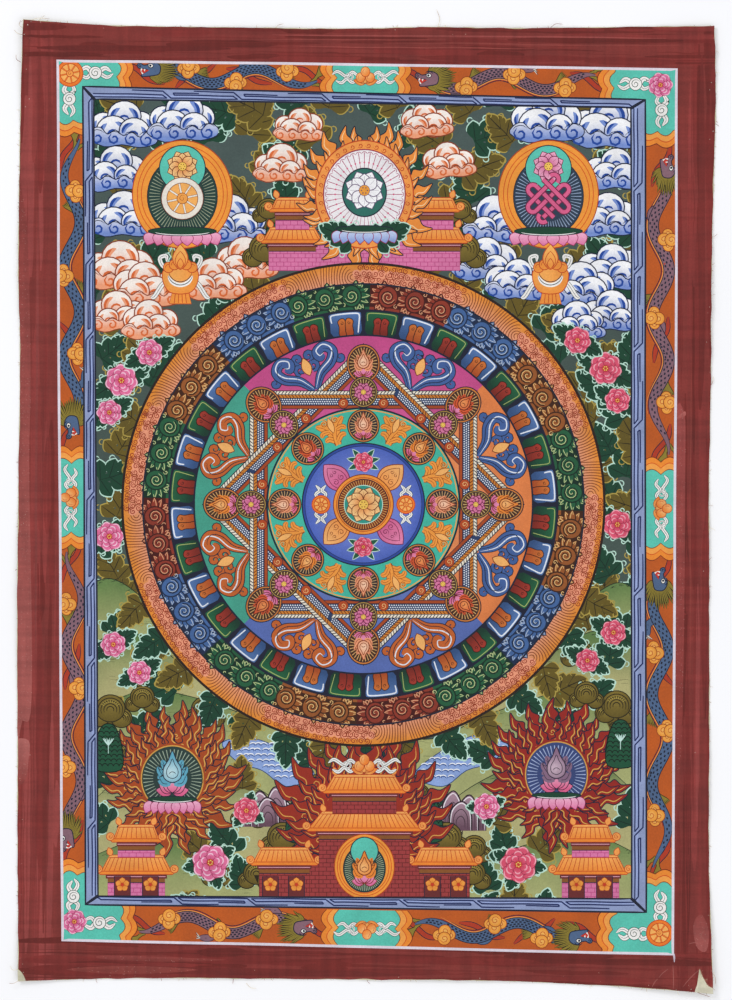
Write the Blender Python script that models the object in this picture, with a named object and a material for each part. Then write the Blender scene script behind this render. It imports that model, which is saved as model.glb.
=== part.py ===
"""Painted cotton panel of a thangka, unmounted, lying flat with its painted face up.

Metres, +Z up. The origin is on the surface that the cloth lies on, under its middle.
+X is the picture's right, +Y its top. The cloth is one piece with four cut edges. It lies
flat under the picture, and only the bare painted margins and the corners lift a little.
"""
from collections import namedtuple

import bmesh
import bpy
from mathutils import Vector

MM = 0.001

THICKNESS = 1.0 * MM
MARGIN_WIDTH = 18.0 * MM
FLAT_HALF_WIDTH = 156.0 * MM
FLAT_HALF_HEIGHT = 225.0 * MM

TOP_LEFT = Vector((-171.5, 243.5)) * MM
TOP_RIGHT = Vector((174.0, 240.3)) * MM
BOTTOM_LEFT = Vector((-174.2, -237.3)) * MM
BOTTOM_RIGHT = Vector((173.3, -243.5)) * MM

MARGIN_STEPS = 4
PICTURE_STEPS_ACROSS = 16
PICTURE_STEPS_ALONG = 24

CLOTH_COLOUR = (0.20, 0.035, 0.030, 1.0)
CLOTH_ROUGHNESS = 0.85
CLOTH_METALLIC = 0.0

# The hand-cut edges wander off the straight lines between the corners. share runs from 0 to
# 1 along the side, upwards or to the right, and out_mm is how far the cut stands out there.
Wander = namedtuple("Wander", "share out_mm")

LEFT_CUT = (
    Wander(0.00, 0.0),
    Wander(0.04, 0.1),
    Wander(0.21, 0.9),
    Wander(0.40, 1.5),
    Wander(0.51, 1.3),
    Wander(0.65, 0.8),
    Wander(0.75, 1.9),
    Wander(0.92, 1.2),
    Wander(1.00, 0.0),
)
RIGHT_CUT = (
    Wander(0.00, 0.0),
    Wander(0.07, -1.1),
    Wander(0.15, -2.1),
    Wander(0.30, -1.9),
    Wander(0.53, -2.3),
    Wander(0.61, -1.6),
    Wander(0.76, -1.1),
    Wander(0.84, -0.2),
    Wander(0.92, 0.8),
    Wander(1.00, 0.0),
)
BOTTOM_CUT = (
    Wander(0.00, 0.0),
    Wander(0.16, -2.4),
    Wander(0.31, -3.2),
    Wander(0.45, -3.6),
    Wander(0.69, -4.4),
    Wander(0.84, -3.0),
    Wander(0.95, -1.2),
    Wander(1.00, 0.0),
)
TOP_CUT = (
    Wander(0.00, 0.0),
    Wander(0.05, -1.2),
    Wander(0.11, -2.3),
    Wander(0.23, -2.8),
    Wander(0.47, -3.0),
    Wander(0.59, -1.8),
    Wander(0.69, -2.1),
    Wander(0.83, -1.2),
    Wander(1.00, 0.0),
)

# The corners and edges that don't lie quite down. x_mm and y_mm are the lift's middle,
# reach_mm is how far it runs along the edge, and height_mm is its most.
Lift = namedtuple("Lift", "x_mm y_mm reach_mm height_mm")

LIFTS = (
    Lift(-171.5, 243.5, 62.0, 2.1),
    Lift(174.0, 240.3, 46.0, 1.2),
    Lift(173.3, -243.5, 66.0, 2.5),
    Lift(-174.2, -237.3, 40.0, 1.4),
    Lift(-174.0, 122.0, 48.0, 0.8),
    Lift(-174.6, -46.0, 60.0, 1.0),
    Lift(172.3, 104.0, 52.0, 1.1),
    Lift(171.4, -20.0, 44.0, 0.6),
    Lift(171.4, -138.0, 40.0, 0.9),
    Lift(-52.0, 240.0, 58.0, 0.8),
    Lift(64.0, 239.4, 50.0, 1.1),
    Lift(-84.0, -236.0, 46.0, 0.7),
    Lift(38.0, -236.6, 60.0, 1.2),
)


def clear_scene():
    for item in list(bpy.data.objects):
        bpy.data.objects.remove(item, do_unlink=True)


def smooth_step(value):
    value = min(max(value, 0.0), 1.0)
    return value * value * (3.0 - 2.0 * value)


def slope_at(table, row):
    before = table[max(row - 1, 0)]
    after = table[min(row + 1, len(table) - 1)]
    return (after.out_mm - before.out_mm) / (after.share - before.share)


def cut_wander(table, share):
    """How far the cut stands out at this share of a side, on a smooth curve."""
    row = 0
    while row < len(table) - 2 and share > table[row + 1].share:
        row += 1
    start = table[row]
    end = table[row + 1]
    span = end.share - start.share
    t = (share - start.share) / span
    rise = start.out_mm * (2 * t**3 - 3 * t**2 + 1) + end.out_mm * (3 * t**2 - 2 * t**3)
    lean = slope_at(table, row) * (t**3 - 2 * t**2 + t) + slope_at(table, row + 1) * (t**3 - t**2)
    return (rise + span * lean) * MM


def side_point(start, end, table, share, outward):
    return start.lerp(end, share) + outward * cut_wander(table, share)


def cloth_point(across, up):
    """Plan position for shares across and up the cloth, blended from its four cut edges."""
    left = side_point(BOTTOM_LEFT, TOP_LEFT, LEFT_CUT, up, Vector((-1, 0)))
    right = side_point(BOTTOM_RIGHT, TOP_RIGHT, RIGHT_CUT, up, Vector((1, 0)))
    bottom = side_point(BOTTOM_LEFT, BOTTOM_RIGHT, BOTTOM_CUT, across, Vector((0, -1)))
    top = side_point(TOP_LEFT, TOP_RIGHT, TOP_CUT, across, Vector((0, 1)))
    sides = left.lerp(right, across) + bottom.lerp(top, up)
    corners = BOTTOM_LEFT.lerp(BOTTOM_RIGHT, across).lerp(TOP_LEFT.lerp(TOP_RIGHT, across), up)
    return sides - corners


def cloth_lift(x, y):
    """Height of the cloth's underside over the surface: none under the picture."""
    past_side = max(abs(x) - FLAT_HALF_WIDTH, 0.0)
    past_end = max(abs(y) - FLAT_HALF_HEIGHT, 0.0)
    freedom = smooth_step(Vector((past_side, past_end)).length / MARGIN_WIDTH)
    height = 0.0
    for lift in LIFTS:
        away = (Vector((x, y)) - Vector((lift.x_mm, lift.y_mm)) * MM).length
        nearness = max(1.0 - (away / (lift.reach_mm * MM)) ** 2, 0.0)
        height += lift.height_mm * MM * nearness**2
    return freedom * height


def stations(length, picture_steps):
    """Shares along one side: close together on the margins, wider under the picture."""
    margin = MARGIN_WIDTH / length
    shares = [margin * step / MARGIN_STEPS for step in range(MARGIN_STEPS)]
    inner = 1.0 - 2.0 * margin
    shares += [margin + inner * step / picture_steps for step in range(picture_steps + 1)]
    shares += [1.0 - margin + margin * step / MARGIN_STEPS for step in range(1, MARGIN_STEPS + 1)]
    return shares


def face_grid(bm, across, up, height):
    """One face of the cloth as rows of vertices, at this height over its underside."""
    rows = []
    for v in up:
        row = []
        for u in across:
            x, y = cloth_point(u, v)
            row.append(bm.verts.new((x, y, cloth_lift(x, y) + height)))
        rows.append(row)
    return rows


def rim(grid):
    """The grid's outer vertices in order, anticlockwise seen from above."""
    bottom = grid[0][:-1]
    right = [row[-1] for row in grid[:-1]]
    top = grid[-1][:0:-1]
    left = [row[0] for row in grid[:0:-1]]
    return bottom + right + top + left


def cloth_material():
    material = bpy.data.materials.new("painted_canvas")
    material.use_nodes = True
    surface = material.node_tree.nodes["Principled BSDF"]
    surface.inputs["Base Color"].default_value = CLOTH_COLOUR
    surface.inputs["Roughness"].default_value = CLOTH_ROUGHNESS
    surface.inputs["Metallic"].default_value = CLOTH_METALLIC
    return material


def build_cloth():
    """The single cut cloth: two faces a thickness apart, joined round the cut edge."""
    width = (TOP_RIGHT - TOP_LEFT).length
    height = (TOP_LEFT - BOTTOM_LEFT).length
    across = stations(width, PICTURE_STEPS_ACROSS)
    up = stations(height, PICTURE_STEPS_ALONG)
    bm = bmesh.new()
    under = face_grid(bm, across, up, 0.0)
    over = face_grid(bm, across, up, THICKNESS)
    for row in range(len(up) - 1):
        for column in range(len(across) - 1):
            right = column + 1
            above = row + 1
            bm.faces.new((over[row][column], over[row][right],
                          over[above][right], over[above][column]))
            bm.faces.new((under[row][column], under[above][column],
                          under[above][right], under[row][right]))
    low = rim(under)
    high = rim(over)
    for step in range(len(low)):
        following = (step + 1) % len(low)
        bm.faces.new((low[step], low[following], high[following], high[step]))
    bmesh.ops.triangulate(bm, faces=bm.faces[:])
    mesh = bpy.data.meshes.new("painted_cloth")
    bm.to_mesh(mesh)
    bm.free()
    mesh.materials.append(cloth_material())
    mesh.shade_smooth()
    mesh.set_sharp_from_angle(angle=0.6)
    cloth = bpy.data.objects.new("painted_cloth", mesh)
    bpy.context.collection.objects.link(cloth)
    return cloth


clear_scene()
build_cloth()
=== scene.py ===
import math

import bpy
import numpy as np
from mathutils.geometry import delaunay_2d_cdt
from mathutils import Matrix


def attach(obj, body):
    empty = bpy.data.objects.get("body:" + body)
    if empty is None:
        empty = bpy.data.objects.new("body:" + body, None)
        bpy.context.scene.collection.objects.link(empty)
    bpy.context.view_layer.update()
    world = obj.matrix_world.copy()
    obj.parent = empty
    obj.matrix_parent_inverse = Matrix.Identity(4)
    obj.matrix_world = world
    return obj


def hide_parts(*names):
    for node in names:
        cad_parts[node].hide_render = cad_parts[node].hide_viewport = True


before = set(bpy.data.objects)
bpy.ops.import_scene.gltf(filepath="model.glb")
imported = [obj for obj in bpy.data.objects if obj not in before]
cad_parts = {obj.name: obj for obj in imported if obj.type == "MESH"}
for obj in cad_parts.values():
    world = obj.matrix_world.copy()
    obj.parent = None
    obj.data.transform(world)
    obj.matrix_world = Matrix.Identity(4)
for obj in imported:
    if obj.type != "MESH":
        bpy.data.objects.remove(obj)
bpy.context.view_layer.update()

# Cloth: one cut length of primed cotton canvas, its four edges cut by hand and wandering a
# little. It lies flat on the surface, and only its bare margins and corners lift off it.
MM = 0.001
FLAT_HALF_WIDTH = 156.0
FLAT_HALF_HEIGHT = 225.0
MARGIN_WIDTH = 18.0
CANVAS_THICKNESS = 0.62
CANVAS_CREAM = "#D8D0AE"
THREAD_PITCH = 0.62
GRID_PITCH = 2.5
RIM_STEPS = (500, 700)

TOP_LEFT = np.array((-171.5, 243.5))
TOP_RIGHT = np.array((174.0, 240.3))
BOTTOM_LEFT = np.array((-174.2, -237.3))
BOTTOM_RIGHT = np.array((173.3, -243.5))

# Share along each side, upwards or to the right, and how far the cut stands out there.
LEFT_CUT = ((0.00, 0.0), (0.04, 0.1), (0.21, 0.9), (0.40, 1.5), (0.51, 1.3), (0.65, 0.8),
            (0.75, 1.9), (0.92, 1.2), (1.00, 0.0))
RIGHT_CUT = ((0.00, 0.0), (0.07, -1.1), (0.15, -2.1), (0.30, -1.9), (0.53, -2.3),
             (0.61, -1.6), (0.76, -1.1), (0.84, -0.2), (0.92, 0.8), (1.00, 0.0))
BOTTOM_CUT = ((0.00, 0.0), (0.16, -2.4), (0.31, -3.2), (0.45, -3.6), (0.69, -4.4),
              (0.84, -3.0), (0.95, -1.2), (1.00, 0.0))
TOP_CUT = ((0.00, 0.0), (0.05, -1.2), (0.11, -2.3), (0.23, -2.8), (0.47, -3.0),
           (0.59, -1.8), (0.69, -2.1), (0.83, -1.2), (1.00, 0.0))

# Middle of each lift, how far it runs along the edge, and its height.
LIFTS = (
    (-171.5, 243.5, 62.0, 2.1),
    (174.0, 240.3, 46.0, 1.2),
    (173.3, -243.5, 66.0, 2.5),
    (-174.2, -237.3, 40.0, 1.4),
    (-174.0, 122.0, 48.0, 0.8),
    (-174.6, -46.0, 60.0, 1.0),
    (172.3, 104.0, 52.0, 1.1),
    (171.4, -20.0, 44.0, 0.6),
    (171.4, -138.0, 40.0, 0.9),
    (-52.0, 240.0, 58.0, 0.8),
    (64.0, 239.4, 50.0, 1.1),
    (-84.0, -236.0, 46.0, 0.7),
    (38.0, -236.6, 60.0, 1.2),
)


def cut_wander(cut, share):
    """How far the cut stands out at these shares of a side, on a smooth curve."""
    at, out = np.array(cut).T
    last = len(at) - 1
    row = np.clip(np.searchsorted(at, share, side="right") - 1, 0, last - 1)
    before = np.clip(np.arange(last + 1) - 1, 0, last)
    after = np.clip(np.arange(last + 1) + 1, 0, last)
    slope = (out[after] - out[before]) / (at[after] - at[before])
    span = at[row + 1] - at[row]
    t = (share - at[row]) / span
    rise = out[row] * (2 * t**3 - 3 * t**2 + 1) + out[row + 1] * (3 * t**2 - 2 * t**3)
    lean = slope[row] * (t**3 - 2 * t**2 + t) + slope[row + 1] * (t**3 - t**2)
    return rise + span * lean


def cut_side(start, end, cut, outward, steps):
    """Points along one cut side, without its last, in millimetres."""
    share = np.arange(steps) / steps
    backwards = (end - start).sum() < 0
    wander = cut_wander(cut, 1.0 - share if backwards else share)
    along = start + share[:, None] * (end - start)
    return along + wander[:, None] * np.array(outward)


def cloth_outline(across, along):
    """The whole cut edge, anticlockwise from the bottom left corner."""
    return np.concatenate((
        cut_side(BOTTOM_LEFT, BOTTOM_RIGHT, BOTTOM_CUT, (0, -1), across),
        cut_side(BOTTOM_RIGHT, TOP_RIGHT, RIGHT_CUT, (1, 0), along),
        cut_side(TOP_RIGHT, TOP_LEFT, TOP_CUT, (0, 1), across),
        cut_side(TOP_LEFT, BOTTOM_LEFT, LEFT_CUT, (-1, 0), along),
    ))


def outward_of(outline):
    """Unit vectors pointing out of a closed anticlockwise outline."""
    along = np.roll(outline, -1, axis=0) - np.roll(outline, 1, axis=0)
    out = np.stack((along[:, 1], -along[:, 0]), axis=1)
    return out / np.linalg.norm(out, axis=1)[:, None]


def uneven(count, reach, seed):
    """Smooth random wander round a closed line, between about -1 and 1."""
    rough = np.random.default_rng(seed).normal(size=count)
    spread = np.exp(-0.5 * (np.arange(-3 * reach, 3 * reach + 1) / reach) ** 2)
    looped = np.concatenate((rough[-3 * reach:], rough, rough[:3 * reach]))
    smooth = np.convolve(looped, spread / np.linalg.norm(spread), mode="valid")
    return 0.5 * smooth


def cloth_lift(places):
    """Height of the cloth's underside over the surface, in millimetres."""
    past = np.maximum(np.abs(places) - (FLAT_HALF_WIDTH, FLAT_HALF_HEIGHT), 0.0)
    free = np.clip(np.linalg.norm(past, axis=1) / MARGIN_WIDTH, 0.0, 1.0)
    free = free * free * (3.0 - 2.0 * free)
    height = np.zeros(len(places))
    for x, y, reach, most in LIFTS:
        away = np.linalg.norm(places - (x, y), axis=1) / reach
        height += most * np.maximum(1.0 - away**2, 0.0) ** 2
    return free * height


def flat_triangles(points, faces):
    """Cuts outlines that may cross into triangles. Returns the points, the triangles, for
    each triangle the outlines that it lies in, and for each point where it came from."""
    found = delaunay_2d_cdt([tuple(p) for p in points], [], faces, 1, 1e-5, True)
    lies_in = [row for row, ids in enumerate(found[5]) if ids]
    inside = [found[5][row] for row in lies_in]
    return np.array(found[0]), np.array(found[2])[lies_in], inside, found[3]


def margin_grid(pitch):
    """Places all over the margins, where the cloth isn't flat."""
    across = np.arange(-174.0, 174.0, pitch)
    up = np.arange(-243.0, 243.0, pitch)
    grid = np.stack(np.meshgrid(across, up), axis=2).reshape(-1, 2)
    return grid[np.any(np.abs(grid) > (150.0, 218.0), axis=1)]


def cut_canvas():
    """The cloth's mesh: two faces a thickness apart, and a soft cut edge between them."""
    rim = cloth_outline(*RIM_STEPS)
    rim = rim + outward_of(rim) * (uneven(len(rim), 2, 11) * 0.14 - 0.12)[:, None]
    count = len(rim)
    points, triangles, _, came_from = flat_triangles(
        np.concatenate((rim, margin_grid(GRID_PITCH))), [list(range(count))])
    used = np.zeros(len(points), bool)
    used[triangles.ravel()] = True
    place_of = {first: row for row, ids in enumerate(came_from) for first in ids if first < count}
    loop = np.array([place_of[step] for step in range(count)])
    renumber = np.cumsum(used) - 1
    points = points[used]
    triangles = renumber[triangles]
    loop = renumber[loop]
    lift = cloth_lift(points)
    under = np.column_stack((points, lift))
    over = np.column_stack((points, lift + CANVAS_THICKNESS))
    swell = points[loop] + outward_of(points[loop]) * 0.06
    middle = np.column_stack((swell, lift[loop] + CANVAS_THICKNESS / 2))
    total = len(points)
    following = np.roll(np.arange(count), -1)
    middles = 2 * total + np.arange(count)
    low_rim = np.stack((loop, loop[following], middles[following], middles), axis=1)
    high_rim = np.stack((middles, middles[following], loop[following] + total, loop + total), axis=1)
    mesh = bpy.data.meshes.new("cut_canvas")
    faces = triangles[:, ::-1].tolist() + (triangles + total).tolist()
    faces += low_rim.tolist() + high_rim.tolist()
    mesh.from_pydata((np.concatenate((under, over, middle)) * MM).tolist(), [], faces)
    mesh.shade_smooth()
    return mesh


def colour(code):
    """A colour written as #RRGGBB, as the linear light that shaders work in."""
    parts = np.array([int(code[i:i + 2], 16) for i in (1, 3, 5)]) / 255.0
    return np.where(parts <= 0.04045, parts / 12.92, ((parts + 0.055) / 1.055) ** 2.4)


class Finish:
    """A material round a plain surface shader, built up in small steps."""

    def __init__(self, name, roughness, specular):
        self.material = bpy.data.materials.new(name)
        self.material.use_nodes = True
        self.nodes = self.material.node_tree.nodes
        self.link = self.material.node_tree.links.new
        self.surface = self.nodes["Principled BSDF"].inputs
        self.surface["Roughness"].default_value = roughness
        self.surface["Specular IOR Level"].default_value = specular
        self.place = self.nodes.new("ShaderNodeTexCoord").outputs["Object"]

    def node(self, kind, sockets, **settings):
        """A node with its properties, and with its sockets set to values or linked."""
        node = self.nodes.new(kind)
        for name, value in settings.items():
            setattr(node, name, value)
        for name, value in sockets.items():
            if isinstance(value, bpy.types.NodeSocket):
                self.link(value, node.inputs[name])
            else:
                node.inputs[name].default_value = value
        return node

    def weave(self):
        """Threads over and under both ways, with thick and thin places. Gives the height."""
        threads = {"Vector": self.place, "Scale": math.tau / (20.0 * THREAD_PITCH * MM),
                   "Distortion": 0.9, "Detail": 2.0, "Detail Scale": 0.35}
        warp, weft = [self.node("ShaderNodeTexWave", threads, wave_type="BANDS", bands_direction=way,
                                wave_profile="SIN").outputs["Fac"] for way in "XY"]
        over, either = [self.node("ShaderNodeMath", {0: warp, 1: weft}, operation=way).outputs[0]
                        for way in ("MULTIPLY", "MAXIMUM")]
        return self.node("ShaderNodeMath", {0: over, 1: either}, operation="ADD").outputs[0]

    def cloudy(self, size_mm, detail=3.0, squash=(1.0, 1.0, 1.0)):
        """Soft noise whose patches are about this many millimetres across."""
        stretched = self.node("ShaderNodeMapping", {"Vector": self.place, "Scale": squash})
        noise = {"Vector": stretched.outputs[0], "Scale": 1.0 / (size_mm * MM), "Detail": detail}
        return self.node("ShaderNodeTexNoise", noise).outputs["Fac"]

    def ramp(self, factor, *stops):
        """A colour ramp through (place, colour) stops."""
        node = self.node("ShaderNodeValToRGB", {"Fac": factor})
        marks = node.color_ramp.elements
        marks[0].position, marks[0].color = stops[0][0], (*colour(stops[0][1]), 1.0)
        marks[1].position, marks[1].color = stops[-1][0], (*colour(stops[-1][1]), 1.0)
        for at, code in stops[1:-1]:
            marks.new(at).color = (*colour(code), 1.0)
        return node.outputs["Color"]

    def darkened(self, amount, base, other):
        """A colour multiplied by another, by this amount."""
        return self.node("ShaderNodeMix", {0: amount, 6: base, 7: other}, data_type="RGBA",
                         blend_type="MULTIPLY").outputs[2]

    def bumped(self, height, depth_mm, strength, **below):
        """A normal from a height, on top of an earlier Normal."""
        bump = {"Height": height, "Strength": strength, "Distance": depth_mm * MM, **below}
        return self.node("ShaderNodeBump", bump).outputs[0]


def canvas_material():
    """Bare primed cotton: cream, a little patchy, with painted shade darkening the hollows between the
    threads.
    """
    finish = Finish("primed_canvas", 0.9, 0.25)
    weave = finish.weave()
    tone = finish.ramp(finish.cloudy(34.0, 4.0), (0.3, "#CDC39C"), (0.5, CANVAS_CREAM), (0.72, "#E2DBC0"))
    # Painted shade: the base colour is darkened where the weave is low, in the hollows between the
    # threads.
    tone = finish.darkened(0.55, tone, finish.ramp(weave, (0.2, "#9E9472"), (0.9, "#FFFFFF")))
    slubs = finish.cloudy(1.6, 2.0, (0.12, 1.0, 1.0))
    tone = finish.darkened(0.35, tone, finish.ramp(slubs, (0.35, "#B9AE8C"), (0.6, "#FFFFFF")))
    finish.link(tone, finish.surface["Base Color"])
    finish.surface["Sheen Weight"].default_value = 0.15
    normal = finish.bumped(weave, 0.09, 0.8)
    finish.link(finish.bumped(slubs, 0.12, 0.4, Normal=normal), finish.surface["Normal"])
    return finish.material


def set_out(name, data):
    """A new object of this data, in the scene."""
    item = bpy.data.objects.new(name, data)
    bpy.context.collection.objects.link(item)
    return item


cloth = set_out("canvas_sheet", cut_canvas())
cloth.data.materials.append(canvas_material())
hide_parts("painted_cloth")
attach(cloth, "root")

# Margin: a broad band of maroon paint brushed over the bare canvas round the picture, in
# overlapping strokes. It stops short at two corners and leaves specks of canvas in the weave.
PAINT_OVER_CANVAS = 0.08
MAROON = "#8A3631"
LINE_CORNERS = np.array(((-152.7, -217.3), (153.8, -224.3), (155.8, 219.0), (-155.2, 223.8)))


def hand_ruled(corners, steps, waver, seed):
    """A four-sided outline ruled by hand: nearly straight sides that waver a little."""
    share = (np.arange(steps) / steps)[:, None]
    sides = [a + share * (b - a) for a, b in zip(corners, np.roll(corners, -1, axis=0))]
    ruled = np.concatenate(sides)
    return ruled + np.stack((uneven(len(ruled), 6, seed), uneven(len(ruled), 6, seed + 1)),
                            axis=1) * waver


LINE_OUTLINE = hand_ruled(LINE_CORNERS, 90, 0.28, 31)


def fade(code, far_code, start, end):
    """A tone that turns into another from start to end."""
    reach = np.subtract(end, start)
    pull = reach / (reach @ reach)
    return (1, *colour(code), *colour(far_code), *start, *pull)


def glow(code, far_code, middle, reach):
    """A tone that turns into another from its middle outwards."""
    return (2, *colour(code), *colour(far_code), *middle, 1.0 / reach, 0.0)


def edges_that_show(triangles, look):
    """The edges between different looks, with the look on the left and right of each."""
    ends = np.concatenate((triangles[:, (0, 1)], triangles[:, (1, 2)], triangles[:, (2, 0)]))
    owner = np.tile(look, 3)
    order = np.lexsort((ends.max(axis=1), ends.min(axis=1)))
    ends, owner = ends[order], owner[order]
    same = np.all(np.sort(ends[1:], axis=1) == np.sort(ends[:-1], axis=1), axis=1)
    first = np.flatnonzero(same)
    alone = np.ones(len(ends), bool)
    alone[first] = False
    alone[first + 1] = False
    kept = first[owner[first] != owner[first + 1]]
    alone = np.flatnonzero(alone & (owner >= 0))
    return (np.concatenate((ends[kept], ends[alone])), np.concatenate((owner[kept], owner[alone])),
            np.concatenate((owner[kept + 1], np.full(len(alone), -1))))


def fewer_corners(points, ends, left, right, slack):
    """Drops corners that lie within slack of a straight run between their two neighbours."""
    chance = np.random.default_rng(1)
    for _ in range(9):
        flat_ends = ends.ravel()
        order = np.argsort(flat_ends, kind="stable")
        count = np.bincount(flat_ends, minlength=len(points))
        start = np.cumsum(count) - count
        middle = np.flatnonzero(count == 2)
        one, other = order[start[middle]] // 2, order[start[middle] + 1] // 2
        a, b = ends[one].sum(axis=1) - middle, ends[other].sum(axis=1) - middle
        run, gap = points[b] - points[a], points[middle] - points[a]
        length = np.linalg.norm(run, axis=1)
        off = np.abs(run[:, 0] * gap[:, 1] - run[:, 1] * gap[:, 0]) / np.maximum(length, 1e-9)
        along = (run * gap).sum(axis=1)
        rank = np.zeros(len(points))
        straight = (off < slack) & (a != b) & (along > 0) & (along < length**2) & (length < 30.0)
        rank[middle[straight]] = chance.uniform(0.1, 1.0, straight.sum())
        drop = straight & (rank[middle] > rank[a]) & (rank[middle] > rank[b])
        one, other, a, b, middle = one[drop], other[drop], a[drop], b[drop], middle[drop]
        ahead = ends[one, 1] == middle
        ends = ends.copy()
        ends[one] = np.where(ahead[:, None], np.stack((a, b), axis=1), np.stack((b, a), axis=1))
        kept = np.ones(len(ends), bool)
        kept[other] = False
        ends, left, right = ends[kept], left[kept], right[kept]
    return ends, left, right


def filled_again(points, ends, left, right, pins):
    """Triangles between the edges that show, each with the look of its side of them."""
    used, local = np.unique(ends.ravel(), return_inverse=True)
    local = local.reshape(-1, 2)
    before = np.concatenate((points[used], pins))
    found = delaunay_2d_cdt([tuple(p) for p in before.tolist()], local.tolist(), [], 0, 1e-5, True)
    points, triangles = np.array([tuple(p) for p in found[0]]), np.array(found[2])
    a, b, c = points[triangles[:, 0]], points[triangles[:, 1]], points[triangles[:, 2]]
    turned = (b[:, 0] - a[:, 0]) * (c[:, 1] - a[:, 1]) - (b[:, 1] - a[:, 1]) * (c[:, 0] - a[:, 0])
    triangles[turned < 0] = triangles[turned < 0][:, ::-1]
    ruled = [row for row, ids in enumerate(found[4]) if ids]
    source = np.array([found[4][row][0] for row in ruled])
    lines = np.array(found[1])[ruled]
    run = points[lines[:, 1]] - points[lines[:, 0]]
    given = before[local[source, 1]] - before[local[source, 0]]
    ahead = (run * given).sum(axis=1) > 0
    on_left = np.where(ahead, left[source], right[source])
    on_right = np.where(ahead, right[source], left[source])
    total = len(points)
    codes = np.concatenate((lines[:, 0] * total + lines[:, 1], lines[:, 1] * total + lines[:, 0]))
    order = np.argsort(codes)
    codes, sides = codes[order], np.concatenate((on_left, on_right))[order]
    count = len(triangles)
    look = np.full(count, -2)
    owner = np.tile(np.arange(count), 3)
    edges = np.concatenate((triangles[:, (0, 1)], triangles[:, (1, 2)], triangles[:, (2, 0)]))
    wanted = edges[:, 0] * total + edges[:, 1]
    spot = np.minimum(np.searchsorted(codes, wanted), len(codes) - 1)
    hit = codes[spot] == wanted
    look[owner[hit]] = sides[spot[hit]]
    open_edges, open_owner = np.sort(edges[~hit], axis=1), owner[~hit]
    order = np.lexsort((open_edges[:, 1], open_edges[:, 0]))
    open_edges, open_owner = open_edges[order], open_owner[order]
    same = np.flatnonzero(np.all(open_edges[1:] == open_edges[:-1], axis=1))
    one, other = open_owner[same], open_owner[same + 1]
    while True:
        fresh = np.concatenate((other[(look[one] > -2) & (look[other] == -2)],
                                one[(look[other] > -2) & (look[one] == -2)]))
        if not len(fresh):
            break
        source = np.concatenate((one[(look[one] > -2) & (look[other] == -2)],
                                 other[(look[other] > -2) & (look[one] == -2)]))
        look[fresh] = look[source]
    return points, triangles, look


def lies_in(outline, places):
    """Whether each place is inside a closed outline."""
    inside = np.zeros(len(places), bool)
    x, y = places.T
    for (ax, ay), (bx, by) in zip(outline, np.roll(outline, -1, axis=0)):
        if ay != by:
            inside ^= ((ay > y) != (by > y)) & (x < (bx - ax) * (y - ay) / (by - ay) + ax)
    return inside


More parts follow.
